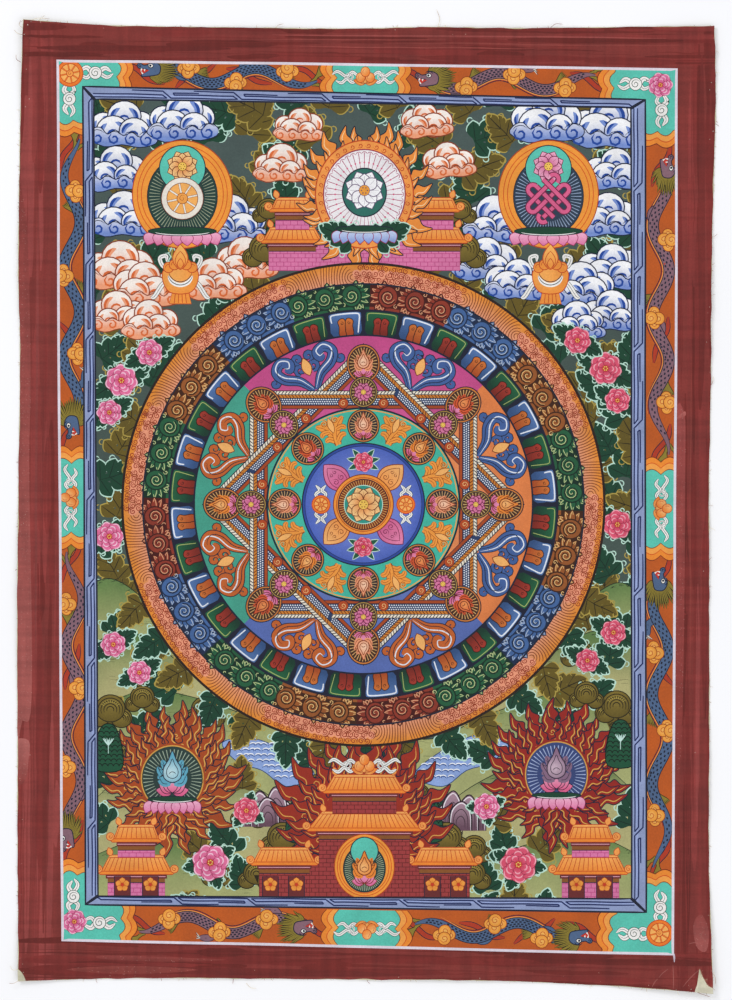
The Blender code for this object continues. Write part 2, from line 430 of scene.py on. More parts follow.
class Sketch:
    """Shapes in the order they are painted. Each covers what lies under it. The finished
    sketch is cut into one flat skin of triangles, so that no paint hovers over other paint."""

    def __init__(self, fields, left_out=()):
        self.points = []
        self.count = 0
        self.faces = []
        self.tones = []
        self.rows = {}
        self.tone_rows = []
        self.pins = []
        self.fields = list(fields)
        self.left_out = left_out
        self.fixed = len(fields) + len(left_out)
        self.place()
        for outline in list(fields.values()) + list(left_out):
            self.blob(outline, "#000000")

    def place(self, x=0.0, y=0.0, turn=0.0, size=1.0, flip=False):
        """The next shapes are drawn round (0, 0) and go here, turned by degrees."""
        cos = math.cos(math.radians(turn)) * size
        sin = math.sin(math.radians(turn)) * size
        side = -1.0 if flip else 1.0
        self.axes = np.array(((cos * side, sin * side), (-sin, cos)))
        self.origin = np.array((x, y))
        self.size = size

    def spot(self, x, y):
        """Where a point of the present drawing falls on the cloth."""
        return np.array((x, y)) @ self.axes + self.origin

    def _put(self, points):
        """Keeps these points and gives the number of the first."""
        first = self.count
        self.points.append(points)
        self.count += len(points)
        return first

    def pin(self, points):
        """Loose points that hold the paint down to the cloth where it isn't flat."""
        self.pins.append(np.asarray(points, float))

    def _tone(self, tone, faces=1):
        """Keeps a tone for this many faces. A plain colour code is one even tone."""
        if isinstance(tone, str):
            tone = (0, *colour(tone), *colour(tone), 0.0, 0.0, 0.0, 0.0)
        tone = list(tone)
        if tone[0]:
            tone[7:9] = self.spot(*tone[7:9])
        if tone[0] == 1:
            tone[9:11] = (np.array(tone[9:11]) @ self.axes) / self.size**2
        if tone[0] == 2:
            tone[9] /= self.size
        tone = tuple(tone)
        row = self.rows.setdefault(tone, len(self.tones))
        if row == len(self.tones):
            self.tones.append(tone)
        self.tone_rows += [row] * faces

    def blob(self, points, tone):
        """Fills a closed outline."""
        points = np.asarray(points, float) @ self.axes + self.origin
        x, y = points.T
        if (x * np.roll(y, -1) - y * np.roll(x, -1)).sum() < 0:
            points = points[::-1]
        first = self._put(points)
        self.faces.append(list(range(first, first + len(points))))
        self._tone(tone)

    def line(self, points, width, tone, ends=(0.35, 0.35), closed=False):
        """A brush line. width is in millimetres, ends the shares of it left at each end."""
        points = np.asarray(points, float) @ self.axes + self.origin
        if closed:
            points = np.concatenate((points, points[:2]))
            run = np.roll(points[:-1], -1, axis=0) - np.roll(points[:-1], 1, axis=0)
            run[-1] = run[0] = points[1] - points[-3]
            points = points[:-1]
            ends = (1.0, 1.0)
        else:
            run = np.gradient(points, axis=0)
        side = np.stack((-run[:, 1], run[:, 0]), axis=1)
        side /= np.maximum(np.linalg.norm(side, axis=1), 1e-9)[:, None]
        share = np.linspace(0.0, 1.0, len(points))
        start = np.clip(share / 0.3, 0.0, 1.0)
        finish = np.clip((1.0 - share) / 0.3, 0.0, 1.0)
        swell = (ends[0] + (1 - ends[0]) * start * (2 - start))
        swell *= (ends[1] + (1 - ends[1]) * finish * (2 - finish))
        half = side * (swell * width / 2)[:, None]
        edges = np.concatenate((points + half, points - half))
        left = np.arange(len(points) - 1)
        right = left + len(points)
        halves = np.concatenate((np.stack((right, right + 1, left + 1), axis=1),
                                 np.stack((right, left + 1, left), axis=1)))
        a, b, c = edges[halves[:, 0]], edges[halves[:, 1]], edges[halves[:, 2]]
        turned = (b[:, 0] - a[:, 0]) * (c[:, 1] - a[:, 1]) - (b[:, 1] - a[:, 1]) * (c[:, 0] - a[:, 0])
        halves = np.where(turned[:, None] < 0, halves[:, ::-1], halves)[np.abs(turned) > 1e-4]
        first = self._put(edges)
        self.faces += (halves + first).tolist()
        self._tone(tone, len(halves))

    def lines(self, points, *strokes):
        """Brush lines laid over each other on one path, each a width, a tone and its ends."""
        for stroke in strokes:
            self.line(points, *stroke)

    def loop(self, points, width, tone):
        """A brush line round a closed outline."""
        self.line(points, width, tone, closed=True)

    def shape(self, points, tone, ink, width):
        """Fills a closed outline and inks its edge."""
        self.blob(points, tone)
        self.loop(points, width, ink)

    def looks(self, drawn):
        """The triangles that all the outlines cut each other into, and for each the field it
        lies in (-1 for none) and the row of its tone."""
        points, triangles, inside, _ = flat_triangles(drawn, self.faces)
        sizes = np.array([len(face) for face in self.faces])
        starts = np.cumsum(sizes) - sizes
        corners = drawn[np.concatenate(self.faces)]
        low = np.minimum.reduceat(corners, starts)
        high = np.maximum.reduceat(corners, starts)
        cell = np.repeat(np.arange(len(inside)), [len(ids) for ids in inside])
        ids = np.concatenate(inside)
        middle = points[triangles].mean(axis=1)[cell]
        real = np.all((middle >= low[ids]) & (middle <= high[ids]), axis=1)
        cell, ids = cell[real], ids[real]
        top = np.zeros(len(inside), int)
        np.maximum.at(top, cell, ids)
        field = np.full(len(inside), self.fixed)
        np.minimum.at(field, cell, ids)
        field[field >= len(self.fields)] = -1
        field[cell[(ids >= len(self.fields)) & (ids < self.fixed)]] = -1
        painted = top >= self.fixed
        return points, triangles[painted], field[painted], np.array(self.tone_rows)[top[painted]]

    def pieces(self, material):
        """One object for each field, with the colours kept at its triangles' corners."""
        drawn = np.concatenate(self.points)
        points, triangles, field, row = self.looks(drawn)
        look = np.where(field < 0, -1, field * len(self.tones) + row)
        ends, left, right = edges_that_show(triangles, look)
        ends, left, right = fewer_corners(points, ends, left, right, 0.015)
        pins = np.concatenate(self.pins) if self.pins else np.zeros((0, 2))
        points, triangles, look = filled_again(points, ends, left, right, pins)
        for outline in self.left_out:
            look[lies_in(outline, points[triangles].mean(axis=1))] = -1
        tones = np.array(self.tones)
        made = []
        for number, name in enumerate(self.fields):
            chosen = (look >= 0) & (look // len(self.tones) == number)
            corners = triangles[chosen]
            tone = tones[look[chosen] % len(self.tones)][:, None, :]
            at = points[corners]
            away = at - tone[..., 7:9]
            straight = (away * tone[..., 9:11]).sum(axis=2)
            round_it = np.linalg.norm(away, axis=2) * tone[..., 9]
            mix = np.choose(tone[..., 0].astype(int), (0.0 * straight, straight, round_it))
            mix = np.clip(mix, 0.0, 1.0)[..., None]
            shades = tone[..., 1:4] * (1.0 - mix) + tone[..., 4:7] * mix
            used, local = np.unique(corners.ravel(), return_inverse=True)
            flat_places = points[used]
            height = cloth_lift(flat_places) + CANVAS_THICKNESS + PAINT_OVER_CANVAS
            mesh = bpy.data.meshes.new(name)
            places = np.column_stack((flat_places, height)) * MM
            mesh.from_pydata(places.tolist(), [], local.reshape(-1, 3).tolist())
            paint = mesh.color_attributes.new("paint", "FLOAT_COLOR", "CORNER")
            full = np.concatenate((shades, np.ones(shades.shape[:2] + (1,))), axis=2)
            paint.data.foreach_set("color", full.astype(np.float32).ravel())
            mesh.materials.append(material)
            piece = set_out(name, mesh)
            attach(piece, "root")
            made.append(piece)
        return made


def flow(points, steps=6, closed=False):
    """A smooth curve through these points."""
    points = np.asarray(points, float)
    if closed:
        points = np.concatenate((points[-1:], points, points[:2]))
    else:
        points = np.concatenate((2 * points[:1] - points[1:2], points, 2 * points[-1:] - points[-2:-1]))
    t = np.arange(steps)[:, None] / steps
    runs = []
    for a, b, c, d in zip(points, points[1:], points[2:], points[3:]):
        runs.append(0.5 * (2 * b + (c - a) * t + (2 * a - 5 * b + 4 * c - d) * t**2
                           + (3 * b - a - 3 * c + d) * t**3))
    if not closed:
        runs.append(points[-2:-1])
    return np.concatenate(runs)


def ring(x, y, radius, steps=28, tall=1.0):
    """A round or oval outline."""
    turn = np.linspace(0.0, math.tau, steps, endpoint=False)
    return np.stack((x + radius * np.cos(turn), y + radius * tall * np.sin(turn)), axis=1)


def brushed_paint(name, mottle, streak):
    """Matt water-based paint soaked into the weave: its colour lies in the sketch, and it is a little
    thicker and thinner from place to place. Painted shade darkens it in the hollows of the weave."""
    finish = Finish(name, 0.8, 0.3)
    weave = finish.weave()
    tone = finish.node("ShaderNodeVertexColor", {}, layer_name="paint").outputs["Color"]
    patches = finish.cloudy(14.0, 5.0)
    grains = finish.cloudy(0.9, 3.0)
    layers = [(mottle, finish.ramp(patches, (0.3, "#B4B4B4"), (0.62, "#FFFFFF"))),
              (mottle * 0.7, finish.ramp(grains, (0.3, "#8E8E8E"), (0.7, "#FFFFFF")))]
    for squash in ((1.0, 0.05, 1.0), (0.05, 1.0, 1.0)) if streak else ():
        laps = finish.cloudy(3.2, 4.0, squash)
        layers.append((streak, finish.ramp(laps, (0.36, "#9A9A9A"), (0.6, "#FFFFFF"))))
    # Painted shade: the colour is darkened a little where the weave is low, in the hollows between the
    # threads.
    layers.append((0.16, finish.ramp(weave, (0.15, "#707070"), (0.9, "#FFFFFF"))))
    for amount, layer in layers:
        tone = finish.darkened(amount, tone, layer)
    finish.link(tone, finish.surface["Base Color"])
    rough = finish.node("ShaderNodeMapRange", {"Value": patches, "To Min": 0.68, "To Max": 0.92})
    finish.link(rough.outputs[0], finish.surface["Roughness"])
    normal = finish.bumped(weave, 0.07, 0.55)
    finish.link(finish.bumped(grains, 0.05, 0.35, Normal=normal), finish.surface["Normal"])
    return finish.material


maroon_paint = brushed_paint("maroon_paint", 0.26, 0.24)
outline = cloth_outline(*RIM_STEPS)
inset = outline - outward_of(outline) * (0.22 + 0.26 * uneven(len(outline), 4, 23))[:, None]
margin = Sketch({"maroon_margin": inset}, [LINE_OUTLINE])
margin.pin(margin_grid(GRID_PITCH))
margin.blob(outline * 1.01, MAROON)
brush = np.random.default_rng(5)
SIDES = (
    (BOTTOM_LEFT, TOP_LEFT, (1, 0), 4.4),
    (BOTTOM_RIGHT, TOP_RIGHT, (-1, 0), 2.8),
    (BOTTOM_LEFT, BOTTOM_RIGHT, (0, 1), 1.5),
    (TOP_LEFT, TOP_RIGHT, (0, -1), 1.5),
)
LAP_TONES = ("#742722", "#7B2A25", "#822D29", "#89312D", "#903733", "#983D39", "#A04642")


def lap_of_paint(side, depth, first, last, width, tone):
    """One pass of the brush along a side, between two shares of its length."""
    start, end, inward, _ = SIDES[side]
    along = np.linspace(first, last, 14)[:, None]
    path = start + along * (end - start) + np.array(inward) * depth
    path = path + np.array(inward) * brush.normal(0, 0.25, 14).cumsum()[:, None] * 0.5
    margin.line(path, width, tone, (0.25, 0.25))


LAPS_A_SIDE, LAST_BROAD_LAP = 90, 60
for side in range(4):
    for number in range(LAPS_A_SIDE):
        thin = number > LAST_BROAD_LAP
        first = brush.uniform(-0.06, 0.92)
        last = first + brush.uniform(0.06, 0.26)
        pick = int(np.clip(brush.normal(SIDES[side][3], 0.7 if thin else 1.5), 0, len(LAP_TONES) - 1))
        width = brush.uniform(0.25, 0.6) if thin else brush.uniform(0.8, 4.6)
        lap_of_paint(side, brush.uniform(-1, 21), first, last, width, LAP_TONES[pick])

# Laps that show in the photograph: side, depth in from the cut edge, first and last share of
# the side, width and tone.
CLEAR_LAPS = (
    (0, 8, 0.34, 0.80, 1.2, "#91403C"),
    (0, 10.4, 0.42, 0.93, 0.8, "#87332F"),
    (0, 12.5, 0.05, 0.36, 2, "#82302B"),
    (1, 11.6, 0.33, 0.66, 0.6, "#964039"),
    (1, 6, 0.62, 0.97, 3, "#7C2C28"),
    (3, 6.4, 0.36, 0.93, 0.8, "#A54D48"),
    (3, 8.8, 0.33, 0.62, 0.5, "#9C4640"),
    (3, 10.2, 0.52, 0.95, 0.9, "#95403A"),
    (3, 12.4, 0.40, 0.74, 0.5, "#A04A44"),
    (3, 14.4, 0.02, 0.30, 2.8, "#742824"),
    (2, 7, 0.08, 0.55, 3.6, "#772A26"),
    (2, 12, 0.48, 0.90, 1.2, "#883630"),
)
for lap in CLEAR_LAPS:
    lap_of_paint(*lap)

# Places where the brush ran dry and the crowns of the weave show through: an outline, and its
# tones at the upper and the lower end.
WORN_PLACES = (
    (((-177, 152), (-171, 150), (-168.8, 120), (-167.8, 60), (-168.6, 20), (-167.2, -60),
      (-167.8, -103), (-172, -107), (-177, -106)), "#903B36", "#B35F59"),
    (((-177, -118.5), (-168.8, -117), (-169, -128), (-170.6, -137), (-177, -139)), "#BE6C66", "#8E3A35"),
    (((154.4, 44), (159, 46), (159.4, 20), (158.8, -60), (157.4, -124), (155, -126), (154.2, -40)),
     "#A54C48", "#8E3833"),
    (((154.4, 43.6), (156.4, 45.6), (159.2, 47.6), (159.6, 45.6), (157.2, 44.4)), "#B8655F", "#A8534E"),
    (((164, -207), (167.6, -204), (171, -212), (169.8, -222), (165.4, -220.6), (163.4, -213)),
     "#98443F", "#AC5A55"),
    (((-132, -224.4), (-96, -225.4), (-70, -226.6), (-98, -227.6), (-130, -226.4)), "#9A4540", "#8C3A34"),
    (((-150, -231.4), (-120, -229.6), (-84, -231.6), (-120, -233.8)), "#9A463F", "#8C3A34"),
)
for corners, upper, lower in WORN_PLACES:
    worn = flow(corners, 4, True)
    low, high = worn.min(axis=0), worn.max(axis=0)
    margin.blob(worn, fade(upper, lower, (0, high[1]), (0, low[1])))
    crowns = brush.uniform(low, high, (int(np.prod(high - low) * 0.2), 2))
    crowns = np.round(crowns / THREAD_PITCH) * THREAD_PITCH
    for at in crowns[lies_in(worn, crowns)]:
        margin.line((at - (0.18, 0), at + (0.18, 0)), 0.2, brush.choice(("#B8706A", "#C58A82")), (1, 1))

BARE_CORNERS = (
    ((166.4, -231), (167.2, -233.2), (168.8, -236.4), (170.6, -239.2), (172.8, -240.4), (175, -240.8),
     (175, -245), (164.6, -243.5), (165.2, -238.6), (165.8, -234.6)),
    ((-176, -231), (-173.4, -231.6), (-171.2, -234.4), (-169.8, -238.6), (-170.2, -241),
     (-176, -241)),
    ((-145, 242.6), (-139, 241.4), (-133.6, 241), (-133.2, 243), (-140, 245)),
)
for corner in BARE_CORNERS:
    margin.blob(flow(corner, 4, True), glow(CANVAS_CREAM, "#E4DDC4", corner[0], 9))
for share in np.linspace(0.1, 0.95, 22):
    at = np.array((166.6, -231.6)) + share * np.array((5.6, -8.4)) + brush.uniform(-0.5, 0.9, 2)
    margin.line((at, at + (brush.uniform(-0.9, -0.3), brush.uniform(-1.3, -0.5))), 0.32,
                brush.choice(("#A8634A", "#8C4034", "#C79A80")))
FLECKS = 150
for _ in range(FLECKS):
    side = brush.choice(4, p=(0.2, 0.25, 0.4, 0.15))
    start, end, inward, _ = SIDES[side]
    depth = brush.exponential(1.8) + 0.4
    x, y = start + brush.uniform() * (end - start) + np.array(inward) * depth
    margin.blob(ring(x, y, brush.uniform(0.10, 0.28), 5, brush.uniform(0.6, 1.4)),
                "#C79A8C" if brush.uniform() < 0.7 else "#E6DCCB")
SCRATCHES = (((158, -240), (161, -236.4), (164, -233.4), (167, -230.8)),
             ((150.8, -231.2), (148, -233.2), (146.2, -235.4)),
             ((145.6, -236), (144.2, -237.4), (142.6, -240.2)),
             ((161.2, -218.6), (163.4, -218), (165.4, -217.8)),
             ((166, -213.6), (168, -215.4), (169.2, -217.6)),
             ((168.6, -212), (167.4, -213.6), (167, -216.4)),
             ((153.2, -229), (153.4, -235), (153.3, -241)))
for scratch in SCRATCHES:
    margin.line(flow(scratch, 3), 0.34, "#A65F58")
margin.line(((153.6, -223.6), (153.9, -225.6), (153.9, -227.8)), 1, "#D9C9D6", (1, 0.3))
margin_pieces = margin.pieces(maroon_paint)

# Border: a thin pale line ruled round a band of burnt orange. Scaly dragons with grassy
# crests wind along the band, and cloud arches hold sea-green grounds at its corners and at
# the middle of each side.
FRAME_OUTER = np.array(((-140.2, -198.8), (139.8, -202.8), (139.3, 203.3), (-141.7, 209.8)))
FRAME_INNER = np.array(((-133.7, -194.3), (132.3, -195.8), (131.8, 198.8), (-135.7, 203.3)))
LINE_WIDTH = 1.3
PALE_LILAC = "#E6DBE6"
INK = "#1B1F33"
BURNT_ORANGE = "#C05A1E"
ARCH_ORANGE = "#F08C30"
ARCH_LINE = "#D4581E"
SEA_GREEN = "#5CC6B2"
FRAME_OUTLINE = hand_ruled(FRAME_OUTER, 60, 0.22, 41)
band = Sketch({"border_band": LINE_OUTLINE}, [FRAME_OUTLINE])
band.blob(LINE_CORNERS * 1.02, BURNT_ORANGE)
hand = np.random.default_rng(9)


def arc(x, y, radius, start, end, steps=10, tall=1):
    """Part of a circle, from start to end in degrees."""
    turn = np.radians(np.linspace(start, end, steps))
    return np.stack((x + radius * np.cos(turn), y + radius * tall * np.sin(turn)), axis=1)


def curl(x, y, radius, start, turns, steps=16, inner=0.18):
    """A spiral that winds inwards from its radius."""
    share = np.linspace(0, 1, steps)
    turn = math.radians(start) + share * turns * math.tau
    reach = radius * (1 - (1 - inner) * share)
    return np.stack((x + reach * np.cos(turn), y + reach * np.sin(turn)), axis=1)


def petal(x, y, length, width, turn, full=0.85, steps=9):
    """A petal's outline from its base at x, y, pointing up before it is turned."""
    share = np.linspace(0, 1, steps)
    half = width / 2 * np.sin(math.pi * share**full) ** 0.85
    half[-1] = 0
    points = np.concatenate((
        np.stack((half, share * length), axis=1),
        np.stack((-half, share * length), axis=1)[-2:0:-1],
    ))
    cos, sin = math.cos(math.radians(turn)), math.sin(math.radians(turn))
    return points @ np.array(((cos, sin), (-sin, cos))) + (x, y)


def around(count, first=0):
    """Evenly spaced turns in degrees, with the unit circle's point at each."""
    for step in range(count):
        turn = first + step * 360 / count
        rad = math.radians(turn)
        yield step, turn, np.array((math.cos(rad), math.sin(rad)))


def peony(s, x, y, radius, turn=0, deep="#B52C58", pink="#E0709E", pale="#F6C3D6", heart="#F4D06A"):
    """A double flower: notched outer petals, a tighter round inside them and a seeded heart."""
    s.place(x, y, turn, radius / 10)
    for count, reach, width, lift in ((7, 10, 8.6, 0), (6, 7.2, 6.6, 22), (5, 4.8, 4.8, 50)):
        for step, turn, out in around(count, lift + 90):
            tip = out * reach
            outline = petal(0, 0, reach, width, turn - 90, 1.5, 11)
            s.shape(outline, fade(deep, pink, tip * 0.1, tip * 0.62), "#8A1E40", 0.22)
            s.line(arc(*tip * 0.66, width * 0.33, turn - 70, turn + 70, 7), 0.075 * radius, pale,
                   (0.15, 0.15))
            s.line((tip * 0.3, tip * 0.72), 0.2, "#9C2248")
    s.blob(ring(0, 0, 2, 12), "#C23A2C")
    for step, turn, out in around(6):
        s.blob(ring(*out * 1.1, 0.42, 6), heart)


def blossom(s, x, y, radius):
    """A small five-petalled flower."""
    line = "#B9501A"
    s.place(x, y, 0, radius / 5)
    for step, turn, out in around(5):
        s.shape(petal(0, 0, 5.2, 4.4, turn, 1.5), glow("#E07A2A", "#F2A244", (0, 0), 4.6), line, 0.24)
        s.line(petal(0, 0, 2.8, 1, turn)[1:6], 0.16, line)
    s.shape(ring(0, 0, 1.3, 10), "#C93C22", line, 0.2)


SCARF_INK = "#17402F"


def scarf(s, path, width, tone="#F6F2EE", line=SCARF_INK):
    """A fluttering ribbon: pale, inked on both sides, with one fold line."""
    s.lines(path, (width + 0.5, line, (0.5, 0.4)), (width, tone, (0.4, 0.25)))
    s.line(path[1:-1], 0.22, line, (0.3, 0.3))


HAIR_DARK, HAIR_GOLD = "#2A260E", "#8E7C2E"


def combed_hair(s, paths, width):
    """Locks drawn in a dark tone and then parted by gold ones."""
    for path in paths:
        s.line(path, width, HAIR_DARK, (0.9, 0.2))
    for path in paths:
        s.line(path, width * 0.42, HAIR_GOLD, (0.9, 0.2))


def dragon(s, x, y, turn, length, phase, body):
    """A winding dragon: a spotted body with a red fold along its belly, tufts of combed hair,
    two clawed legs and a maned head with its jaws open."""
    s.place(x, y, turn)
    along = np.linspace(0, length, 84)
    path = np.stack((along, 4 * np.sin(phase + along / 45 * math.tau)), axis=1)
    run = np.gradient(path, axis=0)
    run /= np.linalg.norm(run, axis=1)[:, None]
    side = np.stack((-run[:, 1], run[:, 0]), axis=1)
    for first, way in ((80, 1), (80, -1), (60, 1), (36, -1), (18, 1)):
        root = path[first] + side[first] * way
        back, out = run[first], side[first] * way
        combed_hair(s, [flow((root + back * lean * 3, root + back * (5 + lean) + out * (1.2 + 3.4 * lean),
                              root + back * (12.5 - 4.5 * lean) + out * (1.6 + 5.4 * lean)), 3)
                        for lean in np.linspace(0, 1, 8)], 1.25)
    fold, fold_out = (path - side * 2.4)[6:-12], side[6:-12] * 0.65
    for shift, width, code in ((0, 3.4, INK), (0, 2.6, "#B23A22"), (1, 0.5, "#F0A050")):
        s.line(fold - fold_out * shift, width, code, (0.5, 0.2))
    for step, way in ((12, -1), (44, 1)):
        knee = path[step] + (3, way * 4.2)
        paw = knee + (5.4, way * 0.2)
        limb = flow((path[step], knee, paw), 4)
        for claw in (-1.5, 0, 1.5):
            s.line((paw, paw + (2.2, claw - way * 1)), 1.1, INK, (1, 0.2))
            s.line((paw, paw + (1.9, claw - way * 0.9)), 0.6, "#E9E0D0", (1, 0.2))
        s.lines(limb, (3.8, INK, (1, 0.6)), (3.1, body, (1, 0.55)))
        for at in limb[2:-1:2]:
            s.line((at - (0.5, 0), at + (0.5, 0)), 0.7, INK)
    s.lines(path, (5.8, INK, (0.8, 0.16)), (4.9, body, (0.8, 0.1)))
    for row, first in ((-1.6, 3), (-0.55, 4), (0.55, 3), (1.6, 4)):
        for step in range(first, 82 - int(abs(row) * 9), 2):
            at = path[step] + side[step] * row
            s.line((at - run[step] * 0.6, at + run[step] * 0.6), 0.95, INK, (0.8, 0.8))
    s.origin = s.spot(*(path[2] + (0.5, 0)))
    combed_hair(s, [flow((root * 1.4, root * 4.6, root * hand.uniform(6.4, 9) + (4, 0.4)), 3)
                    for root in arc(0, 0, 1, -112, 112, 26)], 1.3)
    skull = np.array(((3, 1.2), (1.4, 3.2), (-1.4, 3.9), (-3, 2.5), (-5.4, 2), (-7.2, 3), (-8.6, 2.3),
                      (-8.2, 0.7), (-6.6, 0.2), (-3, -0.5), (-6.2, -2.5), (-6, -3.7), (-3.8, -3.6),
                      (-0.8, -3.2), (2.4, -2.2)))
    s.shape(flow(skull, 3, True), body, INK, 0.5)
    s.blob(((-6.8, 0.2), (-2.6, -0.5), (-5.9, -2.5), (-6.9, -1.2)), "#C8382C")
    for fang in (((-6.4, 0.3), (-6.8, -1.2)), ((-4.9, 0), (-5, -1.1)), ((-5.8, -2.4), (-6.6, -1.2))):
        s.line(fang, 0.8, "#F8F4EC", (1, 0.2))
    s.shape(ring(-1.9, 1.8, 1.3, 10, 0.8), "#F8F4EC", INK, 0.4)
    s.blob(ring(-2.1, 1.8, 0.6, 8), INK)
    s.line(arc(-1.8, 1.9, 2.1, 20, 150, 6), 0.5, INK)
    s.line(curl(-7.2, 1.7, 0.9, 60, 1.1, 8), 0.4, INK)


def arch(s, x, y, half, turn):
    """A cloud arch across the band, open at its middle on a sea-green ground."""
    s.place(x, y, turn)
    up = np.linspace(-9, 9, 37)
    bumps = 2.6 * np.abs(np.sin(math.pi * (up + 9) / 9))
    for reach, tone in ((half, "#7A2A14"), (half - 0.45, ARCH_ORANGE), (half - 3, ARCH_LINE),
                        (half - 3.45, "#F5A24A"), (half - 6.2, "#7A2A14"), (half - 6.6, SEA_GREEN)):
        right = np.stack((reach - 1.5 + bumps, up), axis=1)
        s.blob(np.concatenate((right, -right)), tone)


def corner_arch(s, x, y, turn):
    """The same arch drawn round a corner of the band."""
    s.place(x, y, turn)
    angle = np.linspace(0, math.tau, 160, endpoint=False)
    for reach, tone in ((32, "#7A2A14"), (31.5, ARCH_ORANGE), (29, ARCH_LINE),
                        (28.5, "#F5A24A"), (25.8, "#7A2A14"), (25.4, SEA_GREEN)):
        wave = reach - 2 + 2.4 * np.abs(np.sin(angle * 9))
        s.blob(np.stack((wave * np.cos(angle), wave * np.sin(angle)), axis=1), tone)


def wheel(s, x, y, radius, rim="#F07A28", hub="#F6A04A", line="#B22E14"):
    """An eight-spoked wheel."""
    s.place(x, y, 12, radius / 10)
    s.shape(ring(0, 0, 10), rim, line, 0.35)
    s.shape(ring(0, 0, 7.4), "#F9B25E", line, 0.3)
    for step, turn, spoke in around(8):
        s.line((spoke * 2, spoke * 7.4), 0.085 * radius + 0.2, line, (1, 1))
        s.line((spoke * 2, spoke * 7.2), 0.07 * radius, rim, (1, 1))
    s.shape(ring(0, 0, 2.6, 16), hub, line, 0.3)
    s.line(curl(0, 0, 1.7, 40, 1.1, 12), 0.22, line)


def jewel_lotus(s, x, y, turn, size):
    """Three jewels on a small lotus, with pale scarves on both sides."""
    s.place(x, y, turn, size)
    for side in (-1, 1):
        for lift, reach in ((3.2, 15), (-2.4, 13)):
            path = flow(((side * 3, 0), (side * 7, lift), (side * 10, lift * 0.2),
                         (side * reach, lift * 1.1), (side * (reach + 3), lift * 0.6)), 5)
            scarf(s, path, 1.7 * size)
        s.lines(curl(side * 8.6, 0.4, 2.4, 90 - side * 60, side * 1.2), (0.9 * size, "#F8F4F0"),
                (0.24, SCARF_INK))
    for angle in (-74, 74, -44, 44, -16, 16):
        s.shape(petal(0, -3, 6.8, 3.6, angle), glow("#F6B060", "#EE7F2C", (0, -3), 6.5), "#A83A16", 0.26)
    for px, py in ((-2.6, 0.2), (2.6, 0.2), (0, 3.4)):
        s.shape(ring(px, py, 2.5, 16, 1.1), glow("#FBC27A", "#EE7F2C", (px - 0.6, py + 0.8), 3.4),
                "#A83A16", 0.28)
        s.line(arc(px, py, 1.4, 110, 220, 6), 0.24, "#C93C22")


def gold_cloud(s, x, y, turn, size):
    """A small golden cloud of inked curls."""
    s.place(x, y, turn, size)
    for px, py, r in ((-2.8, 0.6, 2.5), (2.7, 0.9, 2.4), (0.2, 2.6, 2.9), (0, -0.8, 3)):
        s.shape(ring(px, py, r, 14), glow("#F8BC62", "#EE9630", (px, py), r), "#8A3214", 0.34)
        s.line(curl(px, py, r * 0.66, 200, 1.3, 10), 0.36, "#C2501C", (0.5, 0.8))


def band_side(start, end, turn, bodies):
    """One side of the band, drawn with its outer edge up."""
    start, end = np.array(start), np.array(end)
    length = np.linalg.norm(end - start)
    ahead = (end - start) / length
    out = np.array((-ahead[1], ahead[0]))
    middle = (start + end) / 2
    arch_half = 25 if length > 350 else 22
    free = length / 2 - 31 - arch_half
    for half in (0, 1):
        first = start + ahead * (31 if half == 0 else length / 2 + arch_half)
        for share, lean in ((0.06, -30), (0.34, 26), (0.62, -24), (0.96, -30)):
            band.place(*(first + ahead * free * share), turn + lean)
            strip = flow(((-12, -1.5), (-5, 0.8), (4, -0.6), (12, 1.4)), 6)
            band.lines(strip, (3, INK, (0.3, 0.3)), (2.2, "#B23A22", (0.3, 0.3)))
        dragon(band, *(first + ahead * 9), turn, free - 11, 0.4 + 2.4 * half, bodies[half])
        for share, across in ((0.3, 4.2), (0.55, -4.2), (0.82, 3.6)):
            across *= 1 - 2 * half
            gold_cloud(band, *(first + ahead * free * share + out * across),
                       turn + (180 if across > 0 else 0), 1.1)
    arch(band, *middle, arch_half, turn)


MAUVE, SLATE = "#886470", "#50678A"
BAND_CORNERS = np.array(((-146.5, -208), (146.8, -213.5), (147.5, 211.2), (-148.5, 216.8)))
for number, (turn, bodies) in enumerate(((178.9, (SLATE, MAUVE)), (-90.1, (MAUVE, SLATE)),
                                         (-1.1, (SLATE, MAUVE)), (89.7, (MAUVE, SLATE)))):
    band_side(BAND_CORNERS[(number + 1) % 4], BAND_CORNERS[number], turn, bodies)
for (x, y), turn in zip(BAND_CORNERS, (45, 135, 225, 315)):
    corner_arch(band, x, y, turn)
for number, (x, y) in enumerate(BAND_CORNERS):
    across = -1 if x > 0 else 1
    up = -1 if y > 0 else 1
    for reach, lift, wide in ((17.5, -2.6, 2.3), (18.5, 2.4, 1.9)):
        for swap in (False, True):
            path = ((5, lift * 0.3), (9, lift), (12.5, -lift * 0.5), (reach, lift * 0.9),
                    (reach + 3.4, lift * 0.2))
            path = np.array([p[::-1] if swap else p for p in path]) * (across, up)
            band.place(x, y)
            scarf(band, flow(path, 5), wide)
    for swap in (False, True):
        at = np.array((0, 13) if swap else (13, 0)) * (across, up)
        band.place(x, y)
        band.shape(ring(*at, 3.2, 18), "#F6F2EE", SCARF_INK, 0.3)
        band.line(curl(*at, 2.4, 30, 1.5), 0.34, SCARF_INK)
    if number % 2:
        wheel(band, x + across * 0.3, y + up * 0.3, 6.6)
    else:
        peony(band, x + across * 0.5, y + up * 0.5, 6.4, 15)
for x, y, turn in ((-0.5, 214.2, 0), (147.2, -1, -90), (0.2, -210.8, 180), (-147.5, 4.5, 90)):
    jewel_lotus(band, x, y, turn, 0.92)
band.place()
band.loop(LINE_OUTLINE, LINE_WIDTH * 2, PALE_LILAC)
band.loop(FRAME_OUTLINE, 1.1, INK)
mineral_paint = brushed_paint("mineral_paint", 0.28, 0)
band_pieces = band.pieces(mineral_paint)

